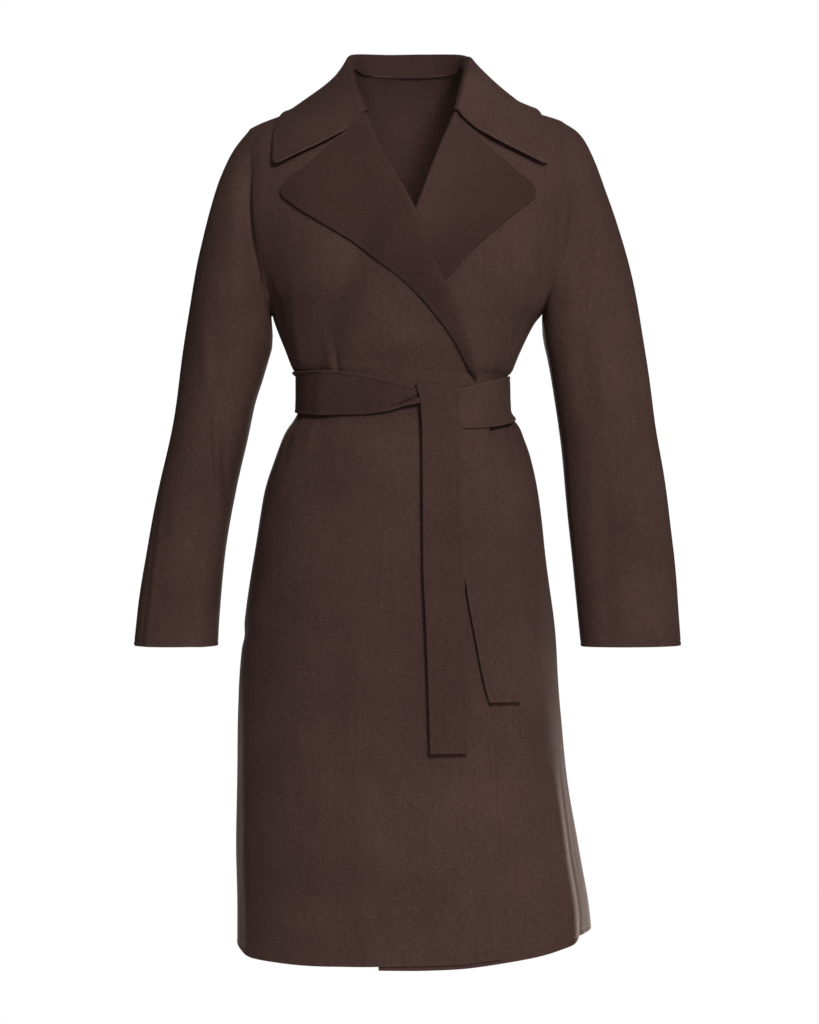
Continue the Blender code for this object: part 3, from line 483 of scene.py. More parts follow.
def makeCloth(name, points, have, free, flip, sheet, belt=False, join=None, napAndPaintedShade=(1.0, 1.0)):
    # A grid of points on the cloth's inner face becomes a closed wall: rounded and slightly turned at its free
    # edges, drawn in a little along its seams. Near the seam points in join its wall leans like the cloth there.
    # The last argument gives the painted shade of the outer and the inner face at each point: below 1 their colour is
    # darkened.
    index = np.full(have.shape, -1)
    index[have] = np.arange(have.sum())
    whole = have[:-1, :-1] & have[1:, :-1] & have[:-1, 1:] & have[1:, 1:]
    a, b, c, d = index[:-1, :-1][whole], index[:-1, 1:][whole], index[1:, 1:][whole], index[1:, :-1][whole]
    quads = np.stack([a, d, c, b] if flip else [a, b, c, d], axis=1)
    verts, isFree = points[have], free[have]
    sheetMesh = bpy.data.meshes.new(name + "Sheet")
    sheetMesh.from_pydata(verts.tolist(), [], quads.tolist())
    normals = np.empty(len(verts) * 3, np.float32)
    sheetMesh.vertices.foreach_get("normal", normals)
    normals = normals.reshape(-1, 3).astype(float)
    bpy.data.meshes.remove(sheetMesh)
    sides = np.concatenate([quads[:, [k, (k + 1) % 4]] for k in range(4)])
    keys = np.sort(sides, axis=1)
    _, inverse, counts = np.unique(keys[:, 0] * len(verts) + keys[:, 1], return_inverse=True, return_counts=True)
    rim = sides[counts[inverse] == 1]

    def distance(edges):
        if not len(edges):
            return np.full(len(verts), 1.0)
        tree = treeOf(np.concatenate([mix(*verts[edges.T], t) for t in np.linspace(0, 1, 9)]))
        return np.array([tree.find(v)[2] for v in verts])

    freeRim = isFree[rim].all(axis=1)
    toFree, toSeam = distance(rim[freeRim]), distance(rim[~freeRim])
    if join:
        tree = treeOf(join[0])
        nearest, away = zip(*(tree.find(v)[1:] for v in verts))
        there = join[1][list(nearest)]
        alike = (normals * there).sum(axis=1)
        lean = (1 - ease(np.array(away) / cloth["lean"])) * ease((alike - 0.1) / 0.5)
        normals = unit(mix(normals, there, lean[:, None]))
    verts = verts + normals * waviness(verts)[:, None]

    def rounded(away, least):
        return least + (1 - least) * np.sqrt(1 - (1 - np.minimum(away / cloth["rim"], 1)) ** 2)

    def ripple(name):
        height, at, width = cloth[name]
        return height * np.exp(-((toFree - at) / width) ** 2)

    share = rounded(toFree, cloth["edgeShare"]) * (1 + ripple("bead")) - ripple("stitches")
    share *= rounded(toSeam, cloth["seamShare"])
    wall = cloth["beltWall" if belt else "wall"]
    middle = verts + normals * (wall / 2)
    outer, inner = middle + normals * (wall / 2 * share)[:, None], middle - normals * (wall / 2 * share)[:, None]
    count = len(verts)
    faces = np.concatenate([quads, quads[:, ::-1] + count,
                            np.stack([rim[:, 1], rim[:, 0], rim[:, 0] + count, rim[:, 1] + count], axis=1)])
    mesh = bpy.data.meshes.new(name)
    mesh.from_pydata(np.concatenate([outer, inner]).tolist(), [], faces.tolist())
    mesh.shade_smooth()
    # the distance to a free edge feeds the painted edge highlight, and the second attribute the painted shade
    for attribute, values in (("toEdge", np.tile(np.minimum(toFree, 0.05), 2)),
                              ("napAndPaintedShade", np.concatenate([np.broadcast_to(n, have.shape)[have] for n in napAndPaintedShade]))):
        mesh.attributes.new(attribute, "FLOAT", "POINT").data.foreach_set("value", values.astype(np.float32))
    material, slot = (beltWool, "belt_wool") if belt else (coatWool, "coat_wool")
    mesh.materials.append(material)
    piece = bpy.data.objects.new(name, mesh)
    bpy.context.scene.collection.objects.link(piece)
    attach(piece, "root")
    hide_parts(sheet["node"])
    print(f"cloth: {name} {len(faces) * 2} triangles")
    lookup = np.zeros(have.shape + (3,))
    lookup[have] = normals
    return lookup


def hemHeight(angle, layer, level):
    fade = ease((form["hem"] + form["hemFade"] - level) / form["hemFade"])
    return level + (hemAt[layer](angle) - form["hem"]) * fade


neckLevels = [form["armpit"], -0.222, -0.182, -0.142, -0.102, -0.062, -0.028, -0.01, 0.01, 0.034]
neckShares = np.linspace(0, 1, len(neckLevels))
neckRise = smoothCurve(neckShares, neckLevels)      # height at the front edge, for each share above the armpit
neckShareAt = smoothCurve(neckLevels, neckShares)
gorge = -0.028                                      # height at which roll line and neck seam meet
settle = 8                                          # rounds in which width and height find each other


def panelPlace(side, t, u, edgeAt, layer):
    # where a front's cloth lies seen from the front: t runs from the hem (-1) by the armpit (0) to the shoulder (1),
    # u from the side seam or armhole (0) to the front edge (1)
    sign, armpit = signs[side], form["armpit"]
    level, rising = armpit + np.minimum(t, 0) * (armpit - form["hem"]), np.maximum(t, 0)
    angle = mix(sign * sideSeamAt[side](level), angleAt(edgeAt(level), level), u)
    z = hemHeight(angle, layer, level)
    x = xAt(angle, z)
    share = mix((1 - np.cos(np.pi * rising)) / 2, (neckRise(rising) - armpit) / (neckLevels[-1] - armpit), u)
    high = armpit * (1 - share)
    for _ in range(settle):
        turn = mix(angleAt(sign * armholeAt[side](high), high), angleAt(edgeAt(high), high), u)
        wide = xAt(turn, high)
        high = mix(armpit, shoulderHeight(wide), share)
    return np.where(t > 0, wide, x), np.where(t > 0, high, z)


rightFront = {
    "node": "right_front", "side": "right", "layer": "over", "columns": 66,
    "tipRadius": 0.0135, "edgeLift": 0.001,
    "lapelPaintedShade": (0.57, 0.5),  # painted shade on the turned lapel, darker from the roll to the edge
    "start": -0.356,       # height at which the lapel starts to turn back, behind the belt
    "edge": metres({  # free edge, roll line and neck seam, from hem to shoulder
        "z": [-1050, -966, -872, -738, -600, -450, -352, -323, -285, -236, -190, -150, -130, -113, -95, -77, -55, -33,
              -24, -8, 8, 34],
        "x": [111, 108.4, 104.9, 95.6, 89.5, 83.5, 80.2, 74.8, 62.7, 42.5, 21, 8, -2, -12, -21.5, -30.8, -40.2, -48.5,
              -53, -61, -67, -71.5],
    }),
    "lapel": metres({  # the lapel's outer edge seen from the front, from the waist up to the tip
        "x": [78.5, 65.3, 51, 34, 14.2, -9.4, -31.2, -67.4, -108.1, -130.1, -157.6],
        "z": [-348, -322.9, -299.2, -277.4, -254.2, -232.4, -216.2, -187.2, -161.8, -147.3, -124.3],
    }),
    "flat": (0.475, 1.12), "area": 0.335, "held": "hung", "restsOn": ["left_front", "back"],
}
leftFront = {
    "node": "left_front", "side": "left", "layer": "under", "columns": 56,
    # painted shade on the turned lapel, lighter near its roll than on the right front
    "tipRadius": 0.0125, "edgeLift": 0.0042, "lapelPaintedShade": (0.74, 0.5),
    "start": -0.33,
    "edge": metres({
        "z": [-1050, -900, -700, -500, -352, -330, -290, -250, -210, -170, -144, -102, -64, -33, -24, -8, 8, 34],
        "x": [-34.5, -38, -44, -52, -64, -60, -49, -34.5, -17.5, -0.5, 10.8, 26.3, 40, 52.6, 56.2, 62, 67, 71.5],
    }),
    "lapel": metres({
        "x": [-60, -45, -20, 12, 47.3, 83.1, 120.4, 158.9],
        "z": [-330, -315, -293, -265, -230.8, -191.3, -158.6, -126.7],
    }),
    "flat": (0.44, 1.11), "area": 0.295, "held": "hung", "restsOn": ["back", "right_front"],
}
overlap = {  # how far the upper layer stands off over chest and skirt, each from its height down, and over what width
    "chest": 0.0094, "chestFrom": -0.08, "chestFade": 0.06, "skirt": 0.0036, "skirtFrom": -0.305, "skirtFade": 0.03,
    "ramp": 0.045, "early": 1.15,
}
underEdge = smoothCurve(leftFront["edge"]["z"], leftFront["edge"]["x"])


def overlapLift(x, z):
    # how far the right front stands off the body where it laps over the left one
    o = overlap
    chest = ease((o["chestFrom"] - z) / o["chestFade"]) * o["chest"]
    lift = mix(chest, o["skirt"], ease((o["skirtFrom"] - z) / o["skirtFade"]))
    return lift * ease((x - underEdge(z)) / o["ramp"] + o["early"])


lapels = {
    "columns": 26, "radius": 0.0038,  # columns over a lapel, and radius of its roll
    "rollSteps": 10, "startFade": 0.02, "least": 0.04,  # height over which the roll begins, and from what share
    "lift": 0.006, "offRoll": 0.03,  # how far a lapel lies off the chest, and how far from the roll it gets there
    "sewn": 0.016,         # how far the collar is sewn to its upper edge
    "curl": (0.022, 0.02, 0.4, 0.2),  # its raised edge: where it begins, its width, its height on the lapel and fade
    "sagFrom": 0.72,       # share of the lapel's height above which its upper edge shows its sag
    "top": metres({  # the upper edge: share of the way from the roll line to the tip, and its sag below a line
        "share": [0, 0.15, 0.3, 0.5, 0.68, 0.84, 1],
        "sag": [0, -1.8, 0, 0, -0.2, -2.2, 0],
    }, "share"),
}


def makeFront(name, s, liftAt):
    side, sign, steps, radius = s["side"], signs[s["side"]], lapels["rollSteps"], lapels["radius"]
    edgeAt = smoothCurve(s["edge"]["z"], s["edge"]["x"])
    levelShare = (s["start"] - form["armpit"]) / (form["armpit"] - form["hem"])
    few = np.array([[0.0, 0.35, 0.7, 1.0]])

    def panel(t, u):
        x, z = panelPlace(side, t, u, edgeAt, s["layer"])
        return frontPoint(x, z, liftAt(x, z))

    def rowsBetween(start, end, step, first=(0,), last=(0,), lines=few):
        dense = np.linspace(start, end, 500)
        return evenRows(dense, panel(dense[:, None], lines), step, first, last)

    grid = cloth["grid"]
    top = float(neckShareAt(gorge))
    t = np.concatenate([
        rowsBetween(-1, levelShare, grid, edgeSteps),
        rowsBetween(levelShare, 0, grid)[1:],
        rowsBetween(0, top, grid, last=edgeSteps, lines=few[:, 3:])[1:],
        rowsBetween(top, 1, 0.003, first=(0, 0.0005), last=seamSteps)[1:],
    ])[:, None]
    dense = np.linspace(0, 1, 240)
    u = evenColumns(dense, panel(t, dense[None, :]), s["columns"], seamSteps, edgeSteps)
    x, z = panelPlace(side, t, u, edgeAt, s["layer"])
    level = np.where(t > 0, neckRise(np.maximum(t, 0)), form["armpit"] + t * (form["armpit"] - form["hem"]))[:, 0]
    rolled = np.where((level > s["start"] - 1e-6) & (t[:, 0] < top + 1e-6))[0]

    # the roll line, and how far the cloth has turned over at each height of it
    roll = placed(edgeAt(level[rolled]), level[rolled])
    run = unit(np.gradient(roll, axis=0))
    out2 = placed(-run[:, 1], run[:, 0]) * sign
    turned = np.maximum(ease((level[rolled] - s["start"]) / lapels["startFade"]), lapels["least"])
    base = roll - out2 * radius * turned[:, None]
    outline = placed(s["lapel"]["x"], s["lapel"]["z"])
    outlineRun = pathLength(outline)
    outline = smoothCurve(outlineRun, outline)(np.linspace(0, outlineRun[-1], 300))
    walked = pathLength(roll)
    tip = along(outline, walked / walked[-1])
    pull = u[rolled] ** 3
    shift = base - placed(x[rolled, -1], z[rolled, -1])
    x[rolled] += shift[:, :1] * pull
    z[rolled] += shift[:, 1:] * pull
    flatPart = frontPoint(x, z, liftAt(x, z))
    ground = flatPart[rolled, -1]
    out = frontOut(ground[:, 0], ground[:, 2])
    across = placed(out2[:, 0], 0, out2[:, 1])
    turns = (np.pi * turned)[:, None] * np.arange(1, steps + 1)[None, :] / steps
    rollPart = (ground[:, None] + across[:, None] * (radius * np.sin(turns))[..., None]
                + out[:, None] * (radius * (1 - np.cos(turns)))[..., None])

    width = np.maximum(np.linalg.norm(tip - base, axis=-1), 0.002)
    places = np.array([spaced(w, 1, (0,), edgeSteps, lapels["columns"])[1:] for w in width])
    share = places / width[:, None]
    spot = base[:, None] + (tip - base)[:, None] * share[..., None]
    height = (walked / walked[-1])[:, None]
    sagFrom, sagAt = lapels["sagFrom"], smoothCurve(lapels["top"]["share"], lapels["top"]["sag"])
    spot -= run[-1] * (sagAt(share) * ease((height - sagFrom) / (1 - sagFrom)))[..., None]
    rise = mix(2 * radius, lapels["lift"], ease(places / lapels["offRoll"])) * turned[:, None]
    begins, over, low, fade = lapels["curl"]
    rise += s["edgeLift"] * ease((places - width[:, None] + begins) / over) * ease((height - low) / fade)
    lapelPart = frontPoint(spot[..., 0], spot[..., 1], liftAt(spot[..., 0], spot[..., 1]) + rise)
    lapelPart = roundCorner(lapelPart, s["tipRadius"])

    columns = u.shape[1]
    points = np.zeros((len(t), columns + steps + lapelPart.shape[1], 3))
    have = np.zeros(points.shape[:2], bool)
    free = np.zeros(points.shape[:2], bool)
    points[:, :columns], have[:, :columns] = flatPart, True
    points[rolled, columns:] = np.concatenate([rollPart, lapelPart], axis=1)
    have[rolled, columns:] = True
    free[0, :columns] = True
    free[:rolled[0] + 1, columns - 1] = True
    free[rolled[0], columns - 1:] = True
    free[rolled, -1] = True
    free[rolled[-1], columns + steps:] = places[-1] > lapels["sewn"]
    past = np.arange(have.shape[1]) - columns
    # painted shade: the lapel's visible face is darkened
    napAndPaintedShade = mix(1, mix(*s["lapelPaintedShade"], ease((past - steps) / lapels["columns"])), ease(past / steps))
    points = creased(points)
    normals = makeCloth(name, points, have, free, side == "left", s, napAndPaintedShade=(1.0, napAndPaintedShade))
    above = t[:, 0] >= 0
    armholeSeams[side].append((points[above, 0], normals[above, 0]))


armholeSeams = {"right": [], "left": []}  # points and lean of the cloth round each armhole, for the sleeves
makeFront("rightFront", rightFront, overlapLift)
makeFront("leftFront", leftFront, lambda x, z: np.zeros(np.broadcast(x, z).shape))

backPanel = {
    "node": "back", "columns": (44, 26, 44), "flat": (0.64, 1.1), "area": 0.57, "held": "hung",
    "restsOn": ["right_front", "left_front"],
}


def backTop(x):
    neck = form["neckBack"] - form["neckDip"] * (1 - (x / form["neckRound"]) ** 2)
    return np.where(np.abs(x) < form["neckX"], np.minimum(shoulderHeight(x), neck), shoulderHeight(x))


def backPoint(t, share):
    # t as on the fronts; share runs from the left side seam (0) past the neck (1 to 2) to the right one (3)
    armpit = form["armpit"]
    level, rising = armpit + np.minimum(t, 0) * (armpit - form["hem"]), np.maximum(t, 0)

    def place(z, left, right):
        neck = angleAt(form["neckX"], z), angleAt(-form["neckX"], z)
        return np.where(share <= 1, mix(left, neck[0], share),
                        np.where(share <= 2, mix(neck[0], neck[1], share - 1), mix(neck[1], right, share - 2)))

    angle = place(level, 180 - sideSeamAt["left"](level), sideSeamAt["right"](level) - 180)
    z = hemHeight(np.where(angle > 0, 180 - angle, -180 - angle), "over", level)
    low = ringPoint(180 - angle, z, 0.0)
    inward = 1 - np.abs(share - 1.5) / 1.5
    reach = mix((1 - np.cos(np.pi * rising)) / 2, np.sin(np.pi / 2 * rising), inward)
    high = armpit * (1 - reach)
    for _ in range(settle):
        turn = place(high, angleAt(armholeAt["left"](high), high), angleAt(-armholeAt["right"](high), high))
        x = xAt(turn, high)
        high = mix(armpit, backTop(x), reach)
    return np.where((t > 0)[..., None], placed(x, depthAt(x, high, "back"), high), low)


def makeBack(name, s):
    few = np.array([[0.0, 0.5, 1.0, 1.5, 2.0, 2.5, 3.0]])
    dense = np.linspace(-1, 1, 1600)
    t = evenRows(dense, backPoint(dense[:, None], few), cloth["grid"], edgeSteps, seamSteps)
    parts = []
    for k, count in enumerate(s["columns"]):
        dense = np.linspace(k, k + 1, 120)
        shares = evenColumns(dense, backPoint(t[:, None], dense[None, :]), count,
                             seamSteps if k == 0 else (0,), seamSteps if k == 2 else (0,))
        parts.append(shares[:, 1 if k else 0:])
    points = creased(backPoint(t[:, None], np.concatenate(parts, axis=1)))
    have, free = wholeGrid(points)
    free[0] = True
    normals = makeCloth(name, points, have, free, False, s)
    above = t >= 0
    for side, column in (("left", 0), ("right", -1)):
        armholeSeams[side].append((points[above, column], normals[above, column]))


makeBack("back", backPanel)

collar = {
    "node": "collar", "stations": 74, "fallColumns": 22, "roll": 0.0046, "inset": -0.002,
    # height of the fall near its roll, and at its edge behind and in front
    "lift": {"right": (0.005, 0.0036, 0.0105), "left": (0.006, 0.0054, 0.0105)},
    "tipRadius": 0.011, "sewn": 0.016,
    # painted shade on the collar: the stand darker, and the fall darker on the right side than on the left
    "standPaintedShade": 0.48, "fallPaintedShade": {"right": 0.72, "left": 0.98},
    # how much further out each side's crest lies from the shoulder on, and at its front end, to meet the lapel's roll
    "crestOut": {"right": 0.0006, "left": 0.0052}, "gorgeOut": {"right": -0.001, "left": 0.004},
    "crestFrom": 0.4, "gorgeFrom": 0.8, "fade": 0.2,  # the shares of its length where those begin, and their fade
    "flat": (0.66, 0.125), "area": 0.0745, "held": "folded", "restsOn": ["right_front", "left_front", "back"],
    "reach": {"right": 0.985, "left": 1.03},
    "stand": (-0.07, 0, 0.08, 0.2, 0.4, 0.6, 0.8),  # where the rows of the stand lie between its foot and the roll
    "rollSteps": 12, "flattest": 0.4,  # least share of half a circle that the roll turns through
    "frontFrom": 0.66,     # share of its length from which the edge's lift is the one in front
    "near": 0.03,          # share to either side over which the directions of its seam and crest are taken
    "hollow": 0.6,         # below 1 the hollow of the fall lies nearer to its roll
    "paintedShadeTurn": (8, 10),    # columns before the fall where its painted shade begins to differ, and over how many
    "offRoll": (0.015, 0.035), "offShoulder": (0.012, 0.035),  # where the lifts and the front's lie take over
    "lines": metres({  # centre back to front end: share of the neck seam, roll's crest, fall's outer edge and hollow
        "s": [0, 0.15, 0.3, 0.45, 0.58, 0.7, 0.8, 0.9, 1],
        "foot": [0, 0.14, 0.27, 0.4, 0.52, 0.64, 0.76, 0.88, 0.99],
        "foldX": [0, 31, 58.5, 73.5, 73.8, 71.4, 66.8, 60, 53],
        "foldY": [78, 74.5, 62, 38, 10, -20, -44, -61, -71.5],
        "foldZ": [67.5, 67.2, 65.5, 59, 50.5, 38, 16.5, -6.5, -26.2],
        "edgeX": [0, 52, 100, 134, 150, 160, 164, 165, 165],
        "edgeY": [116, 110, 90, 50, 6, -28, -50, -62, -70],
        "edgeZ": [-24, -23, -22, -20, -17, -37, -56, -75.5, -93],
        "rightDip": [0, 0, 0, 3, 8, 6.5, 4, 6.2, 9.2],
        "leftDip": [0, 0, 1, 3, 2.6, 3.6, 4, 6.2, 9.2],
    }, "s", "foot"),
}


def neckSeam(side, edge):
    # half of the neck seam, from the centre back over the shoulder seam to the lapel
    x = signs[side] * form["neckX"] * np.arange(24) / 24
    behind = placed(x, depthAt(x, backTop(x), "back"), backTop(x))
    z = mix(edge["z"][-1], gorge + 0.001, np.arange(25) / 24)
    x = smoothCurve(edge["z"], edge["x"])(z)
    return np.concatenate([behind, placed(x, -depthAt(x, z, "front"), z)])


def clearOfBody(points, lift):
    # moves points out from the body, each in its own side view, until they stand off by the lift
    x, y, z = np.moveaxis(points, -1, 0)
    ahead = y < 0
    foot = np.where(ahead, form["frontCrown"], form["backCrown"])
    power = np.where(ahead, crownPower(x, "front"), form["backRound"])
    deep = np.where(ahead, bodyAt["front"](z), bodyAt["back"](z)) * reachAt(x, z, 0.98)
    rise = np.maximum(z - foot, 0)
    share = ((np.abs(y) / deep) ** power + (rise / (shoulderHeight(x) - foot)) ** power) ** (1 / power)
    grow = np.maximum(1, 1 / share + lift / np.hypot(y, rise))
    return placed(x, y * grow, np.minimum(z, foot) + rise * grow)


def makeCollar(name, s):
    curves, halves = curvesOf(s["lines"]), []
    for side, edge in (("right", rightFront["edge"]), ("left", leftFront["edge"])):
        sign, seam = signs[side], neckSeam(side, edge)

        def point(part, at):
            return placed(*(curves[part + axis](at) for axis in "XYZ")) * (sign, 1, 1)

        dense = np.linspace(0, 1, 300)
        rim = point("edge", dense)
        run = pathLength(rim)
        at = np.interp(spaced(run[-1], 1, (0,), edgeSteps, s["stations"]), run, dense)
        fold, rim = point("fold", at), point("edge", at)
        for place in ("crest", "gorge"):
            fold[:, 0] += sign * s[place + "Out"][side] * ease((at - s[place + "From"]) / s["fade"])
        rim[:, 0] *= mix(1.0, s["reach"][side], ease(at))
        footShare, near = curves["foot"](at), s["near"]
        foot = along(seam, footShare)
        ahead = along(seam, np.minimum(footShare + near, 1)) - along(seam, np.maximum(footShare - near, 0))
        inward = unit(placed(ahead[:, 1], -ahead[:, 0], 0)) * sign
        inward[0] = (0, -1, 0)
        foot = foot + inward * s["inset"]
        run = point("fold", np.minimum(at + near, 1)) - point("fold", np.maximum(at - near, 0))
        run[0] = (sign, 0, 0)
        up = unit(fold - foot)
        out = unit(np.cross(run, up)) * -sign
        middle = fold - up * s["roll"]
        reach = rim - middle
        endTurn = np.arctan2((reach * out).sum(1), (reach * up).sum(1))
        endTurn = np.clip(endTurn, s["flattest"] * np.pi, np.pi)[:, None]
        rows = [mix(foot, middle - out * s["roll"], share) for share in s["stand"]]
        for step in range(s["rollSteps"] + 1):
            turn = endTurn * step / s["rollSteps"]
            rows.append(middle + s["roll"] * (up * np.sin(turn) - out * np.cos(turn)))
        start = rows[-1]
        stand = np.stack(rows, axis=1)
        width = np.linalg.norm(rim - start, axis=-1)
        share = np.array([spaced(w, 1, (0,), edgeSteps, s["fallColumns"])[1:] / w for w in width])
        spot = start[:, None] + (rim - start)[:, None] * share[..., None]
        spot[..., 2] -= curves[side + "Dip"](at)[:, None] * np.sin(np.pi * share ** s["hollow"])
        places = share * width[:, None]
        nearRoll, behind, inFront = s["lift"][side]
        outer = mix(behind, inFront, ease((at - s["frontFrom"]) / s["fade"]))[:, None]
        lift = mix(nearRoll, outer, ease((places - s["offRoll"][0]) / s["offRoll"][1]))
        x, y, z = np.moveaxis(spot, -1, 0)
        lying = frontPoint(x, z, lift)
        lying[..., 1] = np.minimum(lying[..., 1], y)
        inFront = ease((shoulderHeight(x) - z - s["offShoulder"][0]) / s["offShoulder"][1]) * (y < 0)
        fall = roundCorner(mix(clearOfBody(spot, lift), lying, inFront[..., None]), s["tipRadius"])
        halves.append(np.concatenate([stand, fall], axis=1))
    points = np.concatenate([halves[0][:0:-1], halves[1]])
    have, free = wholeGrid(points)
    free[:, -1] = True
    free[0, -places.shape[1]:] = free[-1, -places.shape[1]:] = places[-1] > s["sewn"]
    # painted shade, from the stand to the fall on each side
    turn = ease((np.arange(have.shape[1]) - stand.shape[1] + s["paintedShadeTurn"][0]) / s["paintedShadeTurn"][1])
    napAndPaintedShade = mix(s["standPaintedShade"], np.where(points[:, -1:, 0] < 0, *s["fallPaintedShade"].values()), turn)
    makeCloth(name, points, have, free, True, s, napAndPaintedShade=(napAndPaintedShade, napAndPaintedShade))


makeCollar("collar", collar)

rightSleeve = {  # outer and inner line of the sleeve, its middle and half depth, and its seams in degrees
    "side": "right",
    "lines": metres({
        "outerX": [213.6, 229, 241.5, 251.5, 262.2, 271.5, 279.2, 288, 302.5, 319, 328.5, 331.5],
        "outerZ": [-62, -95, -134, -174, -223, -279, -335, -400, -469.5, -559, -629, -671.5],
        "innerX": [172.5, 171.2, 170, 170.6, 174.8, 181.6, 191.4, 200.4, 214.5, 227.5, 232.2, 233.5],
        "innerZ": [-268, -279, -291, -304, -320, -343, -374, -421, -483, -568, -633, -671.5],
        "y": [0, 0, 1, 2, 3, 4, 5, 4, 0, -12, -28, -38],
        "depth": [62, 64, 66, 67, 67, 66, 64, 61, 58, 54, 51, 49],
    }),
    "backSeam": [-58, -56, -53, -49, -44, -37, -28, -14, 8, 27, 38, 43],
    "frontSeam": [126, 128, 131, 135, 140, 146, 154, 164, 172, 180, 186, 190],
    "folds": [  # its soft folds, at places seen from the front
        (-194, -100, -181, -258, 2, 12, 8.5, 0.2, 0.9), (-212, -110, -205, -245, 2, 14, -2.4, 0.1, 0.2),
        (-247.2, -270, -236.3, -380, 3, 6, -2.6, 0.1, 0.1), (-233, -280, -223, -380, 3, 8, 1.6, 0.1, 0.1),
        (-232, -360, -227, -530, 2, 3.4, -5.2, 0.1, 0.2), (-225, -390, -220.5, -535, 2, 3.4, 4, 0.1, 0.2),
        (-256, -229, -271, -398, 3, 9, 2.2, 0.1, 0.2), (-250, -430, -258, -600, -3, 14, 2, 0, 0.2),
        (-290, -440, -315, -670, 1, 3.6, -2.4, 0, 0.8), (-295.5, -460, -320, -670, 1, 3, 2, 0, 0.8),
        (-256, -575, -249, -670, 1, 7.5, -4.2, 0, 0.8),
    ],
    "backFolds": [
        (-205, -305, -270, -365, 4, 10, 3.4, 0.3, 0), (-210, -370, -280, -405, 4, 9, 3, 0.3, 0),
        (-220, -100, -235, -240, 4, 14, 3, 0.1, 0), (-250, -460, -270, -630, 4, 16, 3, 0, 0.6),
    ],
}
leftSleeve = {
    "side": "left",
    "lines": metres({
        "outerX": [209, 227.2, 242, 256.2, 270.8, 282.5, 293, 303.2, 314.8, 324.8, 328.8, 330.5],
        "outerZ": [-43, -75, -114, -157, -207, -263, -324, -394, -469.5, -560, -629, -671.5],
        "innerX": [170, 169, 168.6, 170.2, 174, 178.6, 183.8, 190.2, 196.6, 204, 208.8, 212],
        "innerZ": [-263, -274, -287, -301, -319, -343, -374, -420, -483, -569, -632, -672.5],
        "y": [0, 0, 1, 2, 3, 4, 5, 4, 0, -12, -28, -38],
        "depth": [58, 60, 61, 61, 60, 57, 54, 51, 48, 44, 42, 41],
    }),
    "backSeam": [-58, -57, -55, -52, -49, -45, -41, -36, -31, -27, -25, -24],
    "frontSeam": [126, 127, 129, 131, 134, 138, 142, 147, 152, 157, 160, 162],
    "folds": [
        (208, -100, 183, -255, 0, 8, 3, 0, 0.8), (217, -150, 196, -245, -2, 11, 3.6, 0.1, 0.1),
        (233, -110, 225, -260, -3, 12, -2.6, 0, 0.1), (205, -270, 218, -420, -3, 11, 3, 0.1, 0.1),
        (235, -270, 248, -420, -3, 12, -2.2, 0.1, 0.1), (235, -440, 242, -650, -2, 12, 3, 0, 0.7),
        (270, -420, 282, -640, -2, 14, -2.4, 0, 0.5), (292, -520, 302, -650, -2, 8, 1.4, 0, 0.6),
    ],
    "backFolds": [
        (200, -295, 265, -350, 4, 10, 3.2, 0.3, 0), (205, -355, 270, -395, 4, 9, 3.4, 0.3, 0),
        (215, -90, 230, -230, 4, 14, 2.8, 0.1, 0), (260, -470, 275, -630, 4, 18, 3.2, 0, 0.6),
    ],
}
sleevePieces = {
    "blend": 6,            # rings over which a sleeve changes from the armhole's shape to its own
    "gap": 0.0005,         # from the armhole's edge to the first ring, before that row is laid along the edge
    "tuck": 0.0007,        # how far its first row reaches in past the armhole's edge, so no light shows through
    "bodyFade": 0.07, "seamFade": 0.04, "foldFade": 0.014,  # how far the body's folds, that edge and the seam reach
    "foldSide": (0.008, 0.03),  # the folds in front and behind begin this far from the sleeve's middle, and fade in
    "upper": {"columns": 46, "flat": (0.27, 0.66), "area": {"right": 0.098, "left": 0.114}, "held": "hung"},
    "under": {"columns": 36, "flat": (0.22, 0.58), "area": {"right": 0.089, "left": 0.086}, "held": "hung"},
}


def armholeRing(side, degrees, out):
    # a point round the armhole, from the shoulder over the front and armpit to the back
    turn, sign = np.radians(degrees), signs[side]
    share = (1 + np.cos(turn)) / 2
    z = form["armpit"] * (1 - share)
    for _ in range(settle):
        x = armholeAt[side](z)
        z = mix(form["armpit"], shoulderHeight(sign * x), share)
    y = np.where(np.sin(turn) > 0, -depthAt(sign * x, z, "front"), depthAt(sign * x, z, "back"))
    return placed(sign * (x + out), y, z)


def nearestOn(points, line):
    # the nearest place on a line of points, for each point
    start, run = line[:-1], np.diff(line, axis=0)
    share = ((points[:, None] - start) * run).sum(-1) / np.maximum((run ** 2).sum(-1), 1e-12)
    spots = start + run * np.clip(share, 0, 1)[..., None]
    return spots[np.arange(len(points)), np.linalg.norm(points[:, None] - spots, axis=-1).argmin(1)]


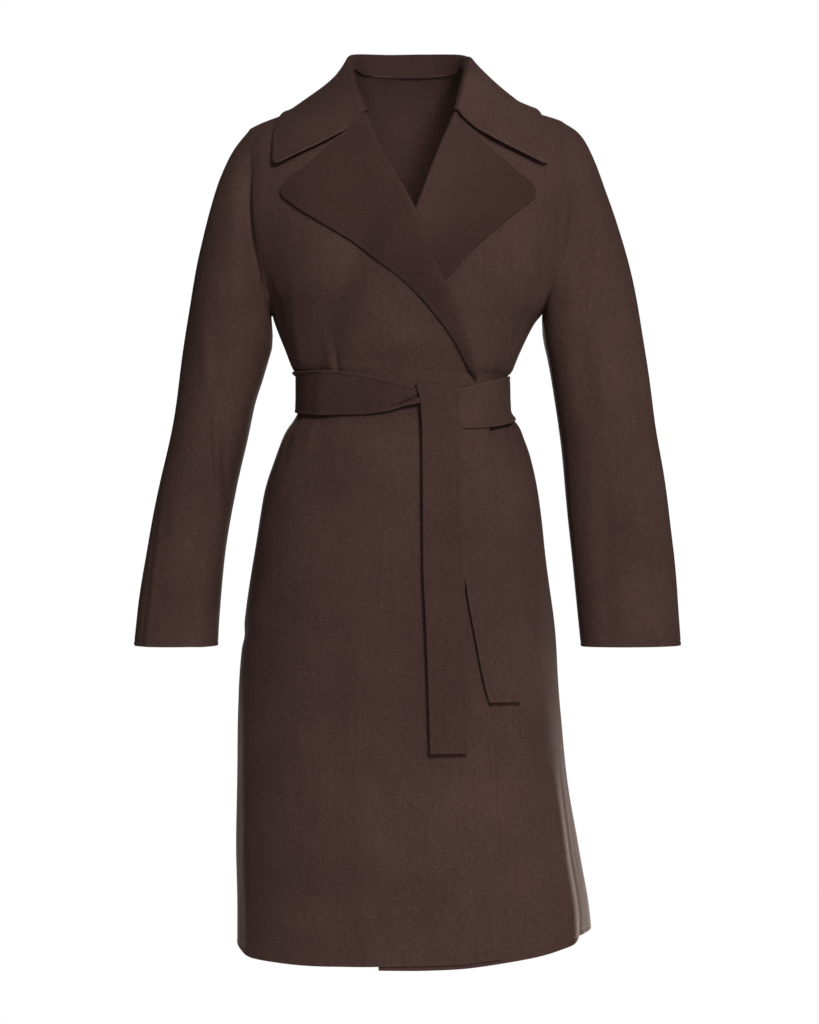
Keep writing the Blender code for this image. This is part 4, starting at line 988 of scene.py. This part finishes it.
def makeSleeve(s, pieces):
    side, sign, lines = s["side"], signs[s["side"]], s["lines"]

    def ring(k, degrees):
        if k == 0:
            return armholeRing(side, degrees, pieces["gap"])
        outerX, outerZ, innerX, innerZ, y, depth = (column[k - 1] for column in lines.values())
        outer, inner = np.array([sign * outerX, 0, outerZ]), np.array([sign * innerX, 0, innerZ])
        turn = np.radians(degrees)
        reach, ahead = (signedPower(turned, 2 / form["square"]) for turned in (np.cos(turn), np.sin(turn)))
        spot = (outer + inner) / 2 + (outer - inner) / 2 * reach[:, None]
        hanging = y - depth * ahead
        spot[:, 1] = mix(armholeRing(side, degrees, 0.0)[:, 1], hanging, min(k / pieces["blend"], 1))
        return spot

    seams = [(s["backSeam"][0], s["frontSeam"][0])] + list(zip(s["backSeam"], s["frontSeam"]))
    join = [np.concatenate(parts) for parts in zip(*armholeSeams[side])]
    for name in ("upper", "under"):
        columns, shares = pieces[name]["columns"], np.linspace(0, 1, 160)
        ends = seams if name == "upper" else [(front, back + 360) for back, front in seams]
        ringAt = smoothCurve(np.arange(len(ends)), [ring(k, mix(*pair, shares)) for k, pair in enumerate(ends)])
        dense = np.linspace(0, len(ends) - 1, 600)
        rows = ringAt(evenRows(dense, ringAt(dense)[:, ::20], cloth["grid"], seamSteps, edgeSteps))
        places = evenColumns(shares, rows, columns, seamSteps, seamSteps)
        points = np.array([[np.interp(at, shares, axis) for axis in row.T] for at, row in zip(places, rows)])
        points = np.moveaxis(points, 1, 2)
        have, free = wholeGrid(points)
        free[-1] = True
        fromArmhole = pathLength(points[:, columns // 2])[:, None, None]
        points = creased(points, 1 - ease(fromArmhole / pieces["bodyFade"]))
        # the first row lies along the armhole's edge
        near = [nearestOn(points[0], line) for line, _ in armholeSeams[side]]
        off = [np.linalg.norm(spots - points[0], axis=-1) for spots in near]
        shift = np.where((off[0] < off[1])[:, None], *near) - points[0] - (sign * pieces["tuck"], 0, 0)
        points += shift * (1 - ease(fromArmhole / pieces["seamFade"]))
        x, y, z = np.moveaxis(points, -1, 0)
        ahead = np.interp(-z, -np.array(lines["outerZ"]), lines["y"]) - y
        near, over = pieces["foldSide"]
        points[..., 1] += ease(fromArmhole[..., 0] / pieces["foldFade"]) * (
            foldDepth(s["folds"], x, z) * ease((ahead - near) / over)
            - foldDepth(s["backFolds"], x, z) * ease((-ahead - near) / over))
        sheet = dict(pieces[name], node=f"{side}_sleeve_{name}", area=pieces[name]["area"][side],
                     restsOn=[f"{side}_front", "back"])
        makeCloth(side + "Sleeve" + name.capitalize(), points, have, free, side == "right", sheet, join=join)


makeSleeve(rightSleeve, sleevePieces)
makeSleeve(leftSleeve, sleevePieces)

belt = {
    "columns": 300, "rows": 9, "ringWidth": 0.052, "tailWidth": 0.048,  # widths over which the rows are spaced
    "bulge": 0.0016,       # its middle stands out a little at the sides and back, beyond these degrees
    "bulgeFrom": 30, "bulgeOver": 25,
    "napAndPaintedShade": 0.7,            # painted shade on the belt's stretch from the right side to the knot
    "paintedShadeFrom": -110, "paintedShadeOver": 20,
    # painted shade on the two tails
    "frontTailPaintedShade": 0.8, "underTailPaintedShade": 0.95,
    "turnedOut": 0.003,    # how far the tails curl off the skirt at their ends and right edges, below a height
    "curled": {"side": 0.4, "end": 0.06, "below": -0.41, "over": 0.08},
    "waist": {"node": "belt_waist", "flat": (1.01, 0.05), "held": "folded", "restsOn": ["back", "right_front"]},
    "frontTail": {"node": "belt_front_tail", "flat": (0.05, 0.46), "held": "hung", "restsOn": ["belt_waist"]},
    "underTail": {"node": "belt_under_tail", "flat": (0.046, 0.36), "held": "hung", "restsOn": ["right_front"]},
    "ring": metres({  # round the waist from the pinched end at the knot, by the right side and back to the knot
        "angle": [-348, -331, -321, -304, -284, -270, -180, -90, -62, -40, -20, -8, 0, 6.5],
        "top": [-363, -360.5, -354.5, -348.5, -343.5, -341.5, -341, -336.2, -337, -338.5, -344, -351, -357, -366],
        "bottom": [-411, -409.5, -407.5, -402.5, -398, -395.5, -390.5, -386.8, -391, -392.8, -392.7, -389, -382.5,
                   -377],
        "lift": [12.6, 12.6, 12.6, 11.5, 4, 3.6, 3.6, 3.6, 4.4, 7.8, 8.8, 11, 12.5, 12.5],
    }, "angle"),
    "folds": [  # creases of its front, at places seen from the front
        (-24, -385, 14, -369.5, 1, 2.2, 4.2, 0.1, 1), (-12, -388, 15, -375.5, 1, 2.8, -2, 0.1, 1),
        (-50, -370, 10, -364, -2, 4.5, 1.2, 0, 1), (-127, -338, -129, -390, 1, 5.5, 2.2, 0.8, 0.9),
        (-103.5, -338, -105.5, -390, 1, 7.5, -2.4, 0.9, 0.9),
    ],
    "front": metres({  # the upper end, hanging from its fold over the belt: two edges and height above the body
        "z": [-793, -713, -647.5, -565, -494, -450, -416, -376, -360],
        "near": [25.9, 23.6, 21.2, 17.7, 17.3, 17, 16.6, 14.3, 10],
        "far": [71.2, 70, 68.2, 66, 62.5, 63, 64.5, 61.2, 61.5],
        "lift": [11.2, 11.4, 11.6, 11.8, 12.2, 13.5, 15.8, 15.8, 15.6],
    }),
    "under": metres({  # the lower end, hanging beneath it and swinging to the left
        "z": [-734.5, -705, -664, -610, -550, -500, -440, -420, -403, -385],
        "near": [96.2, 88.4, 80.5, 70.5, 62, 57, 52.5, 51.5, 50.5, 50],
        "far": [134.8, 134, 130, 122, 111, 103, 98.5, 97.5, 96.5, 96],
        "lift": [7, 7, 7, 7, 7, 7, 7.4, 7.8, 8, 7.6],
    }),
    "foldTop": -0.3585, "foldLift": 0.0118, "foldEnd": -0.372,
}


def makeBelt(s):
    ring = curvesOf(s["ring"])
    angle = np.linspace(s["ring"]["angle"][0], s["ring"]["angle"][-1], s["columns"] + 1)[None, :]
    share = spaced(s["ringWidth"], 1, edgeSteps, edgeSteps, s["rows"])[:, None] / s["ringWidth"]
    z = mix(ring["bottom"](angle), ring["top"](angle), share)
    sideways = ease((np.minimum(np.abs(angle), np.abs(angle + 360)) - s["bulgeFrom"]) / s["bulgeOver"])
    points = ringPoint(angle, z, ring["lift"](angle) + s["bulge"] * sideways * np.sin(np.pi * share))
    ahead = (points[..., 1] < 0) & (angle > -150)
    points[..., 1] += np.where(ahead, foldDepth(s["folds"], points[..., 0], points[..., 2]), 0)
    have, free = wholeGrid(points)
    free[0] = free[-1] = True
    # painted shade on the belt's right front stretch
    napAndPaintedShade = mix(1, s["napAndPaintedShade"], ease((angle - s["paintedShadeFrom"]) / s["paintedShadeOver"]))
    makeCloth("beltWaist", points, have, free, False, s["waist"], belt=True, napAndPaintedShade=(napAndPaintedShade, napAndPaintedShade))

    for name, table in (("frontTail", "front"), ("underTail", "under")):
        # painted shade on each tail
        curves, napAndPaintedShade = curvesOf(s[table]), s[name + "PaintedShade"]
        top, bottom = s[table]["z"][-1], s[table]["z"][0]
        z = top - spaced(top - bottom, cloth["grid"], (0, 0.001), edgeSteps)
        lift = curves["lift"](z)
        if name == "frontTail":
            radius = (lift[0] - s["foldLift"]) / 2
            turns = np.linspace(np.pi, 0, 13)[:-1]
            middle = s["foldTop"] - radius
            behind = np.linspace(s["foldEnd"], middle, 5)[:-1]
            z = np.concatenate([behind, middle + radius * np.sin(turns), z[z < middle]])
            lift = np.concatenate([np.full(len(behind), s["foldLift"]), s["foldLift"] + radius * (1 + np.cos(turns)),
                                   curves["lift"](z[len(behind) + len(turns):])])
        near, far = curves["near"](z), curves["far"](z)
        across = spaced(s["tailWidth"], 1, edgeSteps, edgeSteps, s["rows"]) / s["tailWidth"]
        x = near[:, None] + (far - near)[:, None] * across
        curl = s["curled"]
        atEnd = ease((bottom + curl["end"] - z) / curl["end"])[:, None]
        turnedOut = s["turnedOut"] * np.maximum(1 - ease(across / curl["side"]), atEnd)
        turnedOut = turnedOut * ease((curl["below"] - z) / curl["over"])[:, None]
        points = frontPoint(x, np.repeat(z[:, None], x.shape[1], axis=1), lift[:, None] + turnedOut)
        have, free = wholeGrid(points)
        free[:, 0] = free[:, -1] = free[-1] = True
        makeCloth("belt" + name[0].upper() + name[1:], points, have, free, True, s[name], belt=True, napAndPaintedShade=(napAndPaintedShade, napAndPaintedShade))


makeBelt(belt)

studio = {
    "camera": (0.00185, -3.0, -0.509), "lens": 85.4,
    "white": "#ffffff",
    "surround": 0.09,      # how much the white surround lights the coat
    "floor": -1.45,        # the coat hangs clear of the floor
    "floorRadius": 1.35,
    "paint": "#f4f4f2", "paintRoughness": 0.8,
    # each soft light: place, what it looks at, its size, power in watts, spread in degrees and colour
    "lights": {
        "key": ((1.2, -3.6, 1.2), (0, 0, -0.45), 0.8, 118, 180, "#fffcf9"),
        "top": ((0.4, -2.2, 2.6), (0, 0, -0.4), 0.6, 12, 180, "#fffcf9"),
        "front": ((-0.5, -3.4, -0.1), (0, 0, -0.45), 0.5, 9, 180, "#ffffff"),
        "side": ((2.9, -1.3, -0.2), (0, 0, -0.45), 0.9, 10, 180, "#ffffff"),
        "neck": ((-0.3, -3.0, 0.75), (0.01, 0.1, -0.03), 0.25, 0.09, 12, "#ffffff"),
        "low": ((0.3, -2.6, -1.35), (0, 0, -0.85), 0.9, 1.2, 120, "#fdf6ff"),
        "lowRight": ((1.0, 0.95, -1.25), (0.2, 0, -1.0), 0.4, 1.1, 26, "#fff6ee"),
        "lowLeft": ((-0.8, 1.3, -1.1), (-0.2, 0, -0.92), 0.4, 0.4, 36, "#fff6ee"),
        "backKey": ((-0.7, 3.6, 0.6), (0, 0, -0.45), 0.8, 95, 180, "#fffcf9"),
        "backFill": ((0.7, 3.6, -0.4), (0, 0, -0.45), 0.8, 30, 180, "#ffffff"),
    },
}


def makeStudio(s):
    scene = bpy.context.scene
    scene.view_settings.view_transform = "Standard"
    camera = bpy.data.objects.new("camera", bpy.data.cameras.new("camera"))
    camera.location = s["camera"]
    camera.rotation_euler = (math.pi / 2, 0, 0)
    camera.data.lens = s["lens"]
    scene.collection.objects.link(camera)
    scene.camera = camera
    world = bpy.data.worlds.new("whiteRoom")
    scene.world = world
    world.use_nodes = True
    tree = world.node_tree
    tree.nodes.clear()
    seen = addNode(tree, "ShaderNodeBackground", {"Color": linear(s["white"]), "Strength": 1.0})
    lit = addNode(tree, "ShaderNodeBackground", {"Color": linear(s["white"]), "Strength": s["surround"]})
    rays = addNode(tree, "ShaderNodeLightPath")
    both = addNode(tree, "ShaderNodeMixShader", None, {"Fac": rays.outputs["Is Camera Ray"]})
    tree.links.new(lit.outputs["Background"], both.inputs[1])
    tree.links.new(seen.outputs["Background"], both.inputs[2])
    addNode(tree, "ShaderNodeOutputWorld", None, {"Surface": both.outputs["Shader"]})
    for name, (at, to, size, power, spread, colour) in s["lights"].items():
        lamp = bpy.data.lights.new(name, "AREA")
        lamp.shape, lamp.size, lamp.energy = "DISK", size, power
        lamp.spread, lamp.color = math.radians(spread), linear(colour)[:3]
        holder = bpy.data.objects.new(name, lamp)
        holder.location = at
        holder.rotation_euler = (Vector(to) - Vector(at)).to_track_quat("-Z", "Y").to_euler()
        scene.collection.objects.link(holder)
    bpy.ops.object.select_all(action="DESELECT")
    bpy.ops.mesh.primitive_circle_add(vertices=96, radius=s["floorRadius"], fill_type="NGON",
                                      location=(0, 0, s["floor"]))
    floor = bpy.context.active_object
    floor.name = "floor"
    paint = bpy.data.materials.new("mattWhitePaint")
    paint.use_nodes = True
    shader = paint.node_tree.nodes["Principled BSDF"]
    shader.inputs["Base Color"].default_value = linear(s["paint"])
    shader.inputs["Roughness"].default_value = s["paintRoughness"]
    floor.data.materials.append(paint)


makeStudio(studio)
print("studio: camera, lights and floor made")
